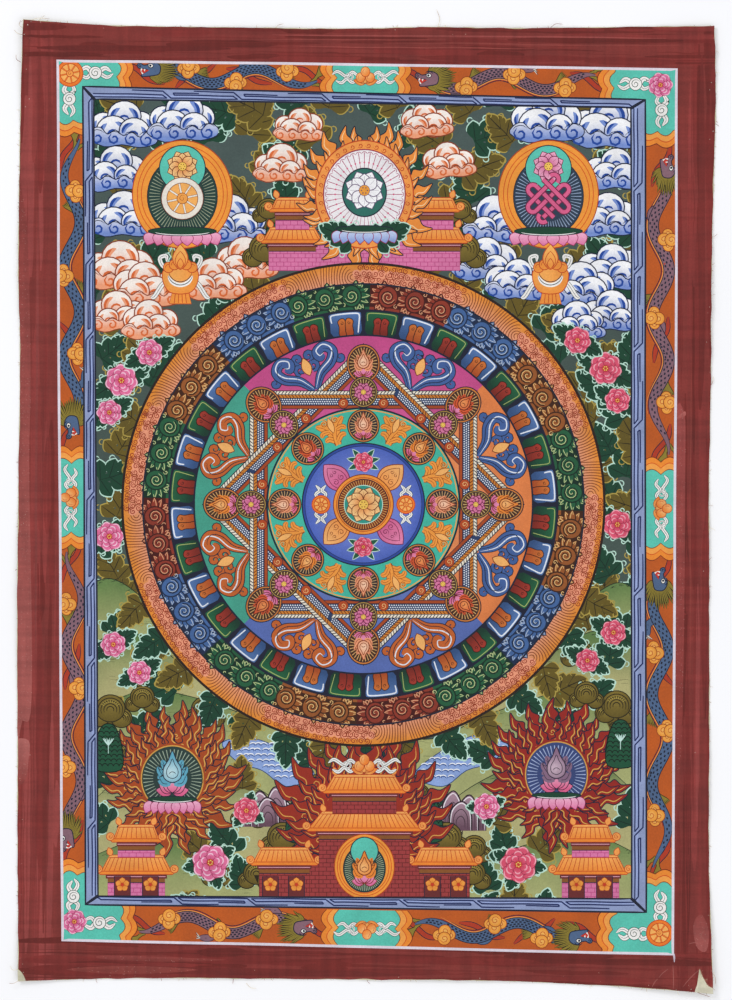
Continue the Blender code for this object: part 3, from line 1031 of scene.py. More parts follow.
# Frame: a lavender blue band ruled with dark lines in a stepped key pattern and mitred at
# its corners with one thick stroke.
LAVENDER = "#929FC6"
PICTURE_OUTLINE = hand_ruled(FRAME_INNER, 60, 0.2, 51)
key_frame = Sketch({"key_frame": FRAME_OUTLINE}, [PICTURE_OUTLINE])
key_frame.blob(FRAME_OUTER * 1.01, LAVENDER)
JOG_SPACING = 43
for row in range(4):
    start = (FRAME_OUTER[row] + FRAME_INNER[row]) / 2
    end = (FRAME_OUTER[(row + 1) % 4] + FRAME_INNER[(row + 1) % 4]) / 2
    length = np.linalg.norm(end - start)
    turn = math.degrees(math.atan2(*(end - start)[::-1]))
    half = 0.5 * (np.linalg.norm(FRAME_OUTER[row] - FRAME_INNER[row]) / math.sqrt(2))
    key_frame.place(*start, turn)
    key_frame.line(((0, half * 0.24), (length, half * 0.24)), half * 0.42, "#9CABD8", (1, 1))
    jogs = np.arange(1, int(length / JOG_SPACING) + 1) * length / (int(length / JOG_SPACING) + 1)
    jogs = jogs + hand.uniform(-4, 4, len(jogs))
    marks = np.concatenate(((2,), jogs, (length - 2,)))
    high, low = half * 0.5, -half * 0.62
    for begin, stop in zip(marks[:-1], marks[1:]):
        reach = stop - begin
        stops = stop != marks[-1]
        step_over = [(begin, high), (stop - 2 * stops, high)]
        hairpin = [(begin, high), (begin + 2.4, 0), (stop - 3.6, 0.02), (stop - 3, low * 0.5),
                   (stop - reach * 0.45, low * 0.46)]
        if stops:
            step_over += [(stop + 2.2, low), (stop + reach * 0.5, low * 1.04)]
        else:
            hairpin = hairpin[:2] + [(stop, 0)]
        for path in (step_over, hairpin):
            dense = [np.linspace(a, b, 12, endpoint=False) for a, b in zip(path[:-1], path[1:])]
            dense = np.concatenate(dense + [np.array(path[-1:])])
            dense[:, 1] += 0.1 * np.sin(dense[:, 0] * 0.21 + row)
            key_frame.line(dense, 0.72, "#1E2A5C", (0.8, 0.8))
for outer, inner in zip(FRAME_OUTER, FRAME_INNER):
    key_frame.place()
    key_frame.line((outer, (outer + inner) / 2, inner), 1.5, INK, (0.7, 1))
key_frame.place()
key_frame.loop(FRAME_OUTLINE, 0.7, INK)
key_frame.loop(PICTURE_OUTLINE, 1.7, INK)
frame_pieces = key_frame.pieces(mineral_paint)

# Mandala: the round diagram at the middle of the picture, painted ring by ring from a pair
# of compasses: an orange ring of combed lines, a ring of scrollwork, a ring of lotus petals,
# and an eight-pointed star of two interlaced squares round a lotus.
CENTRE = (-1.5, 1)
WAVE_OUT, WAVE_IN = 120.5, 110.3
SCROLL_IN = 97
HEART_OUT = 84.4
MANDALA_OUTLINE = ring(*CENTRE, WAVE_OUT, 240)
mandala = Sketch({"mandala_heart": ring(*CENTRE, HEART_OUT, 180),
                  "mandala_rings": MANDALA_OUTLINE})


def out_from_centre(turn, reach):
    """The point at this turn and distance from the mandala's middle."""
    return arc(*CENTRE, reach, turn, turn, 1)[0]


def wave_ring(s):
    """Combed lines that part like hair between eight stretches of small curls."""
    for step, turn, out in around(48):
        s.place(*CENTRE, turn - 90)
        edge = np.concatenate((arc(0, 0, WAVE_OUT + 1, 86, 94, 5), arc(0, 0, WAVE_IN - 0.5, 94, 86, 5)))
        s.blob(edge, fade("#E69A76", "#E48C30", (0, WAVE_IN + 1), (0, WAVE_OUT - 2)))
    for step, turn, out in around(8, 11):
        curls = [(lean + 0.8 * (lift > 4) * (lift < 7) + hand.uniform(-0.2, 0.2), lift)
                 for lift in (8, 5, 2) for lean in np.arange(turn + 9, turn + 36.5, 1.62)]
        for lean, lift in curls[len(curls) // 3:]:
            s.place(*out_from_centre(lean, WAVE_IN + lift))
            s.blob(ring(0, 0, 2.1, 12), "#EE9C7A")
        for lean, lift in curls:
            s.place(*out_from_centre(lean, WAVE_IN + lift), hand.uniform(0, 360))
            s.line(curl(0, 0, 1.65, 0, 1.4, 11), 0.46, "#9A3420", (0.5, 0.8))
            s.line(arc(0, 0, 2.2, 20, 140, 6), 0.44, "#8E3A1C")
        for side in (-1, 1):
            s.place(*out_from_centre(turn + side * 8.4, WAVE_IN + 3.4), turn + side * 8.4 - 90, 1,
                    side < 0)
            for reach in np.arange(1.5, 17, 1.32):
                rise = np.linspace(max(-3.2, -reach), min(6.7, reach), 11)
                bulge = np.sqrt(np.maximum(reach**2 - (rise * (1.2 - reach / 17)) ** 2, 0))
                s.line(np.stack((bulge, rise - 0.0045 * bulge**2), axis=1), 0.46, "#8A4420", (0.7, 0.7))


SCROLL_GROUNDS = (("#0F2C20", "#235C3C", "#BCC88C"), ("#40200F", "#985628", "#E6B878"),
                  ("#1A2A48", "#43659A", "#AEBCD0"), ("#461410", "#8E3626", "#DDA078"))


def scroll_ring(s):
    """Snail scrolls and fans of leaves, inked and then picked out in pale strokes, on a
    ground that changes colour sixteen times."""
    s.place(*CENTRE)
    s.blob(ring(0, 0, WAVE_IN, 240), INK)
    for step, turn, out in around(48, 2):
        ground, leaf, light = SCROLL_GROUNDS[(0, 1, 2, 3, 0, 2, 1, 0, 3, 2, 0, 1, 3, 0, 2, 1)[step // 3]]
        s.place(*CENTRE, turn - 90)
        s.blob(np.concatenate((arc(0, 0, WAVE_IN - 0.4, 86.2, 93.8, 6),
                               arc(0, 0, SCROLL_IN + 0.6, 93.8, 86.2, 6))), ground)
        s.line(arc(0, 0, SCROLL_IN + 1.1, 86.2, 93.8, 6), 1.5, leaf, (1, 1))
        s.place(*out_from_centre(turn, 104.3), turn - 90, 1, step % 6 > 2)
        for angle in (84, -84, 56, -56, 28, -28, 0):
            s.shape(petal(-0.6, 0, 8, 3.9, angle - 90, 1), leaf, ground, 0.6)
            s.line(petal(-0.6, 0, 7.4, 1.6, angle - 90, 1)[3:11], 0.4, light, (0.2, 0.7))
        s.shape(ring(-2.3, 0, 4.9, 20, 1.1), leaf, ground, 0.7)
        s.line(curl(-2.3, 0, 4, 200, 1.8, 20, 0.1), 1, ground, (0.6, 0.9))
        s.line(curl(-2.3, 0, 3.4, 195, 1.7, 18, 0.1), 0.42, light, (0.5, 0.9))
        for px, py, way in ((-6.4, 4.6, 1), (-6.6, -4.4, -1), (1.6, 5.9, -1), (1.8, -5.7, 1)):
            s.line(curl(px, py, 1.3, 90, way, 7), 0.42, light, (0.4, 0.7))
    s.place(*CENTRE)
    s.loop(ring(0, 0, WAVE_IN, 240), 0.8, INK)
    s.loop(ring(0, 0, SCROLL_IN, 220), 1.1, INK)


def lotus_ring(s):
    """The ring of 32 lotus petals, every second one blue, each with two small scrolled lobes."""
    s.place(*CENTRE)
    s.blob(ring(0, 0, SCROLL_IN - 0.4, 220), INK)
    rim = np.array(((-6.7, -5.8), (6.7, -5.8), (7.9, 1), (8.3, 4), (7.2, 5.6), (0, 6),
                    (-7.2, 5.6), (-8.3, 4), (-7.9, 1)))
    for step, turn, out in around(32, 5.625):
        s.place(*out_from_centre(turn, 90.6), turn - 90)
        blue = step % 2 == 0
        body = (fade("#33507E", "#5577AE", (0, -4), (0, 5.8)) if blue
                else fade("#12382A", "#20613E", (0, -4), (0, 5)))
        s.shape(flow(rim, 3, True), body, INK, 0.4)
        s.line(flow(rim[1:] * (0.87, 0.84) + (0, 0.1), 3), 0.7 if blue else 0.42,
               "#E9EEF6" if blue else "#A5B36A", (0.8, 0.8))
        deep, light = ("#A8481E", "#D07434") if blue else ("#76241A", "#A8382A")
        for side in (-1, 1):
            lobe = np.array(((0, -5.6), (side * 3.5, -5.6), (side * 3.4, -1.2), (side * 3.9, 1.4),
                             (side * 1.9, 2.9), (0, 1.5)))
            s.shape(flow(lobe, 3, True), fade(deep, light, (0, -5), (0, 3)), "#2A0E0A", 0.4)
            s.line(curl(side * 1.9, 0.5, 1, 90, side * 1.1, 7), 0.3, "#2A0E0A")
    s.place(*CENTRE)
    s.loop(ring(0, 0, HEART_OUT + 0.2, 200), 0.9, INK)


QUARTERS = (("#D8629A", "#C24A84"), ("#50B89E", "#449C86"), ("#6E80BE", "#566AAC"),
            ("#F29A66", "#E07E44"))
SCROLL_BLUE, SCROLL_RUST = "#42609A", "#C4622A"
STAR_HALF = 57
RUST_INK = "#7A2E10"
BAND_ROWS = ((0, INK), (0.45, "#F1E7D2"), (1.9, INK), (2.25, "#D0822E"), (3.7, INK), (4.05, "#2B3F66"),
             (7.2, INK), (7.6, "#A8481E"), (9, INK))


def star_side(s, first, last):
    """One side of a square, from share first to last: a striped cord, a gold cord, three
    rows of pearls on blue and a rust edge. Drawn with the square's middle below it."""
    low = STAR_HALF - BAND_ROWS[-1][0] - 0.3
    for inset, code in BAND_ROWS:
        depth = STAR_HALF - inset
        s.blob(((first * depth, depth), (last * depth, depth), (last * low, low), (first * low, low)),
               code)
    for x in np.arange(first * STAR_HALF + 2.5, last * STAR_HALF - 2.5, 1.7):
        s.line(((x, STAR_HALF - 1.8), (x + 1.1, STAR_HALF - 0.4)), 0.45, "#3A3A48", (1, 1))
        s.line(((x, STAR_HALF - 2.3), (x + 1.2, STAR_HALF - 3.6)), 0.45, RUST_INK, (1, 1))
    for row in range(3):
        for x in np.arange(first * STAR_HALF + 5 + 0.5 * row, last * STAR_HALF - 5, 1.15):
            y = STAR_HALF - 4.5 - row * 1.05
            s.blob(((x, y - 0.42), (x + 0.4, y), (x, y + 0.42), (x - 0.4, y)), "#EEF0F4")


def scroll_tail(s, side, body):
    """A thick curling stem with a white edge and three curled shoots."""
    stem = flow(((side * 0.6, -9), (side * 5, -3), (side * 11, 0.4), (side * 13.4, 4.6),
                 (side * 10.6, 7.8), (side * 6.8, 6.4), (side * 7.4, 3.6), (side * 9.6, 4.2)), 5)
    shoots = [curl(side * px, py, r, first, side * 1.2, 12)
              for px, py, r, first in ((3, 1.8, 2.6, 250), (2.6, 6.6, 2.2, 270), (15.6, 0.4, 2, 90))]
    for path, width in [(shoot, 1.7) for shoot in shoots] + [(stem, 4.2)]:
        s.lines(path, (width * s.size + 0.9, INK, (0.5, 0.25)), (width * s.size, body, (0.45, 0.2)))
    s.line(stem + (0, 1), 0.6, "#E6EAF2", (0.2, 0.2))
    s.line(stem[:22] - (0, 0.9), 0.4, INK, (0.3, 0.3))
    for at, step in zip(stem[3:24:3], stem[4:25:3]):
        s.line((at, at + (step - at)[::-1] * (0.9, -0.9)), 0.34, INK)


def lotus_front(s, x, y, turn, size, deep, light, line, heart="#F4C65A"):
    """A lotus seen from above: two rounds of eight petals and a seed head."""
    s.place(x, y, turn, size)
    for first, reach, width in ((22.5, 10, 6.6), (0, 8.4, 6.2)):
        for step, turn, out in around(8, first + 90):
            tip = out * reach
            s.shape(petal(0, 0, reach, width, turn - 90, 1.15, 8), fade(deep, light, (0, 0), tip), line,
                    0.4)
            s.line((tip * 0.45, tip * 0.85), 0.3, line)
    s.shape(ring(0, 0, 2.7, 16), heart, line, 0.24)
    for step, turn, out in around(6):
        s.blob(ring(*out * 1.5, 0.36, 6), line)


def rayed_aureole(s, x, y, turn, radius, rim, ground, ray, tall=1.12):
    """A disc behind a motif: a rim and a fan of fine pale rays on a dark ground."""
    s.place(x, y, turn)
    s.shape(ring(0, 0, radius, 40, tall), rim, INK, 0.5)
    s.shape(ring(0, 0, radius * 0.88, 36, tall), ground, INK, 0.4)
    for step, turn, out in around(int(radius * 3.6)):
        out = out * (1, tall)
        s.line((out * radius * 0.44, out * radius * 0.84), 0.4, ray, (0.5, 1))


def offering_lotus(s, x, y, turn, size, deep, light, line, seat="#DC6E9E"):
    """A pointed jewel with leaves on a lotus seat, seen from the side."""
    s.place(x, y, turn, size)
    for angle in (-80, 80, -52, 52, -26, 26, 0):
        s.shape(petal(0, -5.4, 5.6, 3.6, angle), fade(seat, "#F0A8C4", (0, -5.4), (0, -0.5)), line, 0.38)
    for side in (-1, 1):
        for reach, lift in ((4.6, -1.2), (4.9, 1.6), (3.4, 3.9)):
            leaf = flow(((side * 0.6, -2.4), (side * reach * 0.7, lift - 1),
                         (side * reach, lift + 1.6)), 4)
            s.lines(leaf, (2 * size, deep, (0.6, 0.3)), (0.3, line, (0.6, 0.4)))
        s.line(curl(side * 3.9, 3, 1.3, 90, side * 1.2, 9), 0.34, line)
    drop = np.array(((0, 8.6), (1.3, 5.6), (3, 2.6), (2.7, -0.6), (0, -2), (-2.7, -0.6), (-3, 2.6),
                     (-1.3, 5.6)))
    s.shape(flow(drop, 3, True), glow(light, deep, (-0.6, 1.6), 4.6), line, 0.5)
    s.loop(flow(drop * 0.62 + (0, 0.6), 3, True), 0.36, line)
    s.line(arc(0, 0.4, 1.2, 20, 160, 6), 0.36, line)


LOTUS_TONES = (("#EE8A34", "#F8BC78", "#7A2E12"), ("#C84A80", "#E88AB0", "#6E1840"),
               ("#EE9A70", "#FAD0B0", "#8A3E1E"), ("#D4562E", "#F09A58", "#641C10"))


def star_heart(s):
    """The mandala's middle: four coloured quarters under an eight-pointed star of two squares."""
    s.place(*CENTRE)
    for number, (ground, rim) in enumerate(QUARTERS):
        first = 45 + number * 90
        s.place(*CENTRE)
        s.blob(np.concatenate((((0, 0),), arc(0, 0, HEART_OUT - 0.2, first, first + 90, 30))),
               glow(ground, rim, (0, 0), HEART_OUT * 1.02))
        for lean in (22.5, 67.5):
            s.place(*out_from_centre(first + lean, 72), first + lean - 90, 1.12)
            for side in (-1, 1):
                scroll_tail(s, side, SCROLL_RUST if number in (1, 2) else SCROLL_BLUE)
            s.shape(petal(0, -2, 8.4, 4.4, 0, 0.9), "#F6B468", RUST_INK, 0.45)
    for square in (45, 0):
        for side in range(4):
            s.place(*CENTRE, square + side * 90)
            star_side(s, -1, 1)
            s.line(((STAR_HALF, STAR_HALF), (48, 48)), 0.4, INK, (1, 1))
    for side in range(4):
        s.place(*CENTRE, 45 + side * 90)
        star_side(s, -0.56, 0)
    for step, turn, out in around(16, 11.25):
        s.place(*(np.array(CENTRE) + out * 51.6), turn - 90)
        s.shape(ring(0, 0, 2.6, 16), "#B4481E", INK, 0.3)
        s.line(curl(0, 0, 1.6, 30, 1.3, 10), 0.34, "#F0C080")
    for step, turn, out in around(8, 0):
        deep, light, line = LOTUS_TONES[(0, 3, 2, 3, 0, 3, 2, 3)[step]]
        at = np.array(CENTRE) + out * 70.4
        rayed_aureole(s, *at, turn - 90, 8.3, "#CC7A34", "#4A2A1A", "#E0B070", 1.16)
        offering_lotus(s, *(at - out * 0.6), turn - 90, 0.92, deep, light, line)
        at = np.array(CENTRE) + out * 56.2
        deep, light, line = LOTUS_TONES[1]
        rayed_aureole(s, *at, turn - 90, 6.9, "#B08A3C", "#54331C", "#D8B878", 1.1)
        lotus_front(s, *at, turn - 90, 0.5, deep, light, line)
    s.place(*CENTRE)
    s.shape(ring(0, 0, 48.2, 120), "#43B8A0", INK, 0.9)
    s.loop(ring(0, 0, 47.2, 120), 0.5, "#F0A040")
    for step, turn, out in around(8, 22.5):
        at = np.array(CENTRE) + out * 39.6
        s.place(*at, turn - 90)
        for side in (-1, 1):
            for path, width in ((((0, -7.2), (side * 1, -2), (side * 3.4, 2.4), (side * 7.2, 5.2)), 3.4),
                                (((side * 0.6, -5.4), (side * 3.2, -3.2), (side * 5.6, -3.6)), 2.4),
                                (((side * 2, 0.4), (side * 5, 0.6), (side * 6.6, -1)), 2.2)):
                s.lines(flow(path, 5), (width + 0.5, RUST_INK, (0.8, 0.4)),
                        (width, "#F09A40", (0.75, 0.3)), (0.26, "#A84818", (0.5, 0.5)))
            s.lines(curl(side * 3, 5, 2, 90, side * 1.4, 12), (1.2, "#F09A40"), (0.28, RUST_INK))
        s.shape(petal(0, -1, 8.2, 3, 0, 1), "#F6B468", RUST_INK, 0.3)
    for step, turn, out in around(8, 0):
        at = np.array(CENTRE) + out * 39.4
        deep, light, line = LOTUS_TONES[(2, 0, 2, 3, 2, 0, 2, 3)[step]]
        rayed_aureole(s, *at, turn - 90, 7.9, "#CC8238", "#33282C", "#D0A870", 1.04)
        offering_lotus(s, *(at - out * 0.6), turn - 90, 0.84, deep, light, line, "#E0628E")
    s.place(*CENTRE)
    s.shape(ring(0, 0, 30.6, 90), "#2C4A9A", INK, 0.6)
    s.shape(ring(0, 0, 29.2, 90), glow("#8E9CE0", "#4E66BC", (0, 0), 29), "#26356E", 0.4)
    for step, turn, out in around(4, 45):
        s.place(*CENTRE, turn - 90)
        pink = step % 2
        deep, light, line = LOTUS_TONES[1] if pink else LOTUS_TONES[0]
        s.shape(petal(0, 10, 18, 12, 0, 0.95, 13), fade(deep, light, (0, 10), (0, 29)), line, 0.45)
        s.loop(petal(0, 11, 14.6, 8.2, 0, 0.95, 11), 0.3, line)
        for side in (-1, 1):
            s.line(curl(side * 1.9, 17.6, 1.7, 90, side * 1.3, 11), 0.34, line)
            s.line(curl(side * 1.3, 21.6, 1.1, 90, side * 1.2, 9), 0.3, line)
    for number, (step, turn, out) in enumerate(around(4, 90)):
        at = np.array(CENTRE) + out * 21.2
        for side in (-1, 1):
            s.place(*at, turn - 90)
            if number % 2:
                for lift in (2.6, -2.4):
                    scarf(s, flow(((side * 1, 0), (side * 5, lift), (side * 7, lift * 0.2),
                                   (side * 9.6, lift)), 4), 1.5)
            else:
                for angle in (40, 78, 116):
                    s.shape(petal(0, 0, 8.4, 3, -side * angle), "#1D5A3E", "#CFE8D8", 0.36)
        if number % 2:
            wheel(s, *at, 4.6)
        else:
            peony(s, *at, 5.2, turn, "#B8243E", "#E2506E", "#F6A8B8")
    s.place(*CENTRE)
    s.shape(ring(0, 0, 15, 60), "#F09438", RUST_INK, 0.45)
    s.loop(ring(0, 0, 13.4, 60), 0.4, "#B4481C")
    s.shape(ring(0, 0, 12.6, 60), "#7A3216", INK, 0.4)
    for step, turn, out in around(60):
        s.line((out * 9.4, out * 12.2), 0.3, "#E8B060", (0.6, 1))
    s.shape(ring(0, 0, 9.6, 40), "#2F9484", "#BFE4D4", 0.4)
    lotus_front(s, *CENTRE, 0, 0.92, "#E27A28", "#FAD090", "#6E2810")


wave_ring(mandala)
scroll_ring(mandala)
lotus_ring(mandala)
star_heart(mandala)
mandala.place()
mandala.loop(MANDALA_OUTLINE, 1.3, "#2A1A16")
mandala_pieces = mandala.pieces(mineral_paint)

# Scenery: the ground round the mandala, painted in flat colours and then inked. A slate
# green sky with cloud banks and flowers is above, and green hills with a pavilion, flame
# rings, rocks and water are below.
LEFT_ROW = np.roll(PICTURE_OUTLINE, len(PICTURE_OUTLINE) // 2, axis=0)
SEAM_TOP, SEAM_FOOT = ((-1, 200.9),), ((-1, -195),)
scenery = Sketch({"scenery_left": np.concatenate((LEFT_ROW[LEFT_ROW[:, 0] < -2.5], SEAM_FOOT, SEAM_TOP)),
                  "scenery_right": np.concatenate((PICTURE_OUTLINE[PICTURE_OUTLINE[:, 0] > 0.5],
                                                   SEAM_TOP, SEAM_FOOT))},
                 [MANDALA_OUTLINE])
SKY_SLATE = "#4A5956"
LEAF_GREEN, MINT = "#17432F", "#BFE4D2"
OLIVE, OLIVE_LIGHT, OLIVE_INK = "#66561E", "#B09A48", "#241E0C"
GRASS, DRY_GRASS = "#66824A", "#A9AC72"
BLUE_CLOUD = ("#FBFAFC", "#7A93D2", "#1F479C", "#101A3A")
CORAL_CLOUD = ("#FDF1E8", "#F2A078", "#DC6A34", "#8E3A1C")


def cloud_lobe(s, x, y, radius, lean, tones):
    """One puff: white with a coloured foot, inked, with deep commas inside both its edges."""
    pale, mid, deep, line = tones
    s.place(x, y, lean, radius / 10)
    s.shape(ring(0, 0, 10, 18, 0.92), fade(mid, pale, (0, -6), (0, 4)), line, 0.6)
    for side in (-1, 1):
        s.line(arc(0, -0.8, 6.8, 90 + side * 110, 90 + side * 22, 7, 0.9), radius * 0.26, mid, (0.4, 0.1))
        s.line(arc(0, -0.8, 7.6, 90 + side * 110, 90 + side * 40, 7, 0.9), radius * 0.17, deep,
               (0.4, 0.1))
    s.line(arc(0, -3, 3.4, 180, 30, 6), radius * 0.14, deep, (0.2, 0.2))


def cloud_bank(s, puffs, tones, radius):
    """Puffs from back to front along a path of (x, y) middles. Each stands on a coloured
    foot of rolling waves."""
    pale, mid, deep, line = tones
    for x, y in puffs:
        big = radius * hand.uniform(0.88, 1.1)
        way = 1 if hand.uniform() < 0.5 else -1
        for px, py, r in ((-1, 0.5, 0.66), (0.95, 0.55, 0.7), (0.1, 0.95, 0.86), (-0.5, 0.1, 0.78),
                          (0.62, 0, 0.7)):
            cloud_lobe(s, x + way * px * big, y + py * big * 0.85, r * big * hand.uniform(0.9, 1.15),
                       -way * px * 26 + hand.uniform(-8, 8), tones)
        s.place(x, y, hand.uniform(-5, 5), big)
        foot = ((-1.75, -0.3), (-1.5, 0.12), (-1.1, 0.2), (-0.75, -0.12), (-0.35, 0.1), (0.05, -0.16),
                (0.5, 0.02), (0.9, -0.2), (1.3, 0.12), (1.75, -0.1), (1.7, -0.5), (0.9, -0.72),
                (0, -0.62), (-0.9, -0.76))
        s.shape(flow(foot, 3, True), fade(mid, pale, (0, -0.5), (0, 0.5)), line, 0.5)
        for px, size in ((-1.25, 0.34), (-0.4, 0.3), (0.45, 0.32), (1.25, 0.36)):
            s.line(curl(px, -0.34, size, 120, way * 1.1, 9, 0.3), 0.11 * big, deep, (0.2, 0.5))
            s.line(arc(px, -0.34, size * 1.25, 150, 40, 5), 0.4, line, (0.3, 0.3))


def curly_leaf(s, x, y, turn, size, body=LEAF_GREEN, edge=MINT, vein="#0C2A1E"):
    """A broad leaf with lobes along both sides, each lobe edged with a pale line that ends in
    a small hook."""
    s.place(x, y, turn, size)
    lobes = [(along, reach, -side * lean)
             for along, reach, lean in ((0.6, 8.6, 74), (4.6, 8.2, 54), (8.8, 7, 36))
             for side in (-1, 1)]
    s.blob(((-1.8, 0), (1.8, 0), (1.4, 12), (-1.4, 12)), body)
    for along, reach, turned in lobes + [(9, 9.6, 0)]:
        lobe = petal(0, along, reach, 6.4, turned, 1.2)
        s.blob(lobe, body)
        s.line(lobe[3:13], 0.62, edge, (0.3, 0.5))
        rad = math.radians(turned)
        tip = np.array((-math.sin(rad), math.cos(rad))) * reach + (0, along)
        hook = -1.3 if turned > 0 else 1.3
        s.line(arc(tip[0] + hook * 0.3, tip[1] - 1.2, 1.2, 100, 100 - hook * 160, 7), 0.55, edge,
               (0.4, 0.4))
        s.line(((0, along), (tip + (0, along)) / 2, tip * (0.92, 0.95)), 0.45, vein, (0.8, 0.4))
    s.line(((0, 0), (0.4, 6), (0, 15)), 0.45, vein)


def olive_leaf(s, x, y, turn, size):
    """A curly leaf in the olive tones."""
    curly_leaf(s, x, y, turn, size, OLIVE, OLIVE_LIGHT, OLIVE_INK)


def leaf_mound(s, x, y, radius):
    """A round bush of drooping strands under a cap of small gold strokes."""
    s.place(x, y)
    for px, py, r in ((-0.75, -0.45, 0.7), (0.75, -0.5, 0.72), (0, 0.15, 1)):
        px, py, r = px * radius, py * radius, r * radius
        s.shape(ring(px, py, r, 22, 0.92), glow("#8A7632", OLIVE, (px, py + r * 0.4), r * 1.2),
                OLIVE_INK, 0.5)
        for reach in (0.84, 0.64, 0.44, 0.24):
            s.line(arc(px, py - r * 0.1, r * reach, 205, -25, 14, 0.95), 0.5, OLIVE_INK, (0.4, 0.4))
        for at in arc(0, 0, r, 30, 150, 9, 0.8):
            s.line((at * 0.5 + (px, py), at * 0.72 + (px, py)), 0.34, "#B8A44E", (1, 0.4))


TREE_INK = "#06140E"


def round_tree(s, x, y, wide, tall):
    """A dark green tree of scaly leaves with one pale sprig on it."""
    s.place(x, y)
    s.shape(flow(((-wide, -tall), (-wide * 1.05, 0), (-wide * 0.6, tall * 0.8), (0, tall),
                  (wide * 0.6, tall * 0.8), (wide * 1.05, 0), (wide, -tall)), 4, True),
            "#1C5238", TREE_INK, 0.5)
    for row in np.arange(-tall * 0.85, tall * 0.8, 2.3):
        spread_out = wide * math.sqrt(max(0.05, 1 - (max(row, 0) / tall) ** 2)) * 0.9
        for column in np.arange(-spread_out, spread_out, 2.8):
            s.line(arc(column + (row * 1.3) % 1.4, row, 1.35, 180, 0, 6), 0.44, TREE_INK, (0.7, 0.7))
    s.line(((0, -tall * 0.3), (0, tall * 0.3)), 0.45, "#CFEFE6", (0.6, 1))
    for lean in (-68, -40, -15, 15, 40, 68):
        rad = math.radians(lean)
        path = ((0, tall * 0.05), (math.sin(rad) * 1.5, tall * 0.05 + 1.6),
                (math.sin(rad) * 2.9, tall * 0.1 + 3))
        s.line(flow(path, 3), 0.42, "#CFEFE6", (0.8, 0.5))


def rocks(s, x, y, size, flip=False):
    """Folded mauve rocks edged with white."""
    s.place(x, y, 0, size, flip)
    for px, tall, wide in ((-7.5, 10, 4.6), (7.6, 11, 4.4), (-3.6, 15, 5), (4, 17, 5.2), (0, 12, 5.4)):
        fold = flow(((px - wide, -2), (px - wide * 0.9, tall * 0.6), (px - 0.8, tall),
                     (px + wide * 0.8, tall * 0.66), (px + wide, -2)), 5)
        s.blob(fold, fade("#6A4A5A", "#B08E9E", (px, 0), (px, tall)))
        s.line(fold, 0.7, "#2A1C26", (0.8, 0.8))
        s.line(fold * (0.9, 0.93) + (px * 0.1, 0), 0.5, "#EFE6EC", (0.3, 0.3))
        for share in (0.66, 0.4):
            s.line(fold * (share, share * 1.04) + (px * (1 - share), 0), 0.4, "#3E2834", (0.3, 0.3))


def water(s, points, rows, seed):
    """A pool of small combed waves."""
    drops = np.random.default_rng(seed)
    s.place()
    outline = flow(points, 5, True)
    s.shape(outline, "#8FA8DC", "#1E3A6E", 0.4)
    low, high = outline.min(axis=0), outline.max(axis=0)
    inner = outline.mean(axis=0) + (outline - outline.mean(axis=0)) * 0.9
    for y in np.linspace(low[1] + 0.8, high[1] - 1.6, rows):
        for x in np.arange(low[0] + 1.5, high[0] - 1.5, 3.3):
            at = np.array((x + drops.uniform(-0.8, 0.8), y))
            if lies_in(inner, at[None])[0]:
                s.line(arc(*at, 1.9, 168, 12, 6, 0.75), 0.5, "#24488A", (0.3, 0.2))
                s.line(arc(at[0] + 0.2, at[1] + 0.72, 1.7, 165, 15, 5, 0.75), 0.55, "#F6F8FC", (0.3, 0.2))


HILL_INK = "#1E2A1C"


def hill(s, crest, low, near=DRY_GRASS, far=GRASS):
    """A rounded hill with short strokes of ink along its crest."""
    crest = flow(crest, 6)
    s.place()
    top = crest[:, 1].max()
    foot = np.array(((crest[-1, 0], low), (crest[0, 0], low)))
    s.blob(np.concatenate((crest, foot)), fade(near, far, (0, top - 26), (0, top - 4)))
    s.line(crest, 0.42, HILL_INK, (0.4, 0.4))
    for at in crest[2:-2:2]:
        for _ in range(3):
            start = at + (hand.uniform(-1.6, 1.6), hand.uniform(-2.2, -0.2))
            s.line((start, start + (hand.uniform(1.4, 3), hand.uniform(0.2, 0.9))), 0.3, HILL_INK,
                   (0.8, 0.2))


def grass_strokes(s, places):
    """Groups of short level strokes on open ground."""
    s.place()
    for x, y in places:
        for _ in range(4):
            start = np.array((x + hand.uniform(-3, 3), y + hand.uniform(-1.6, 1.6)))
            s.line((start, start + (hand.uniform(2.4, 5), hand.uniform(-0.2, 0.2))), 0.34, "#26301C",
                   (0.3, 0.3))


TILE_RUST = "#C2461C"


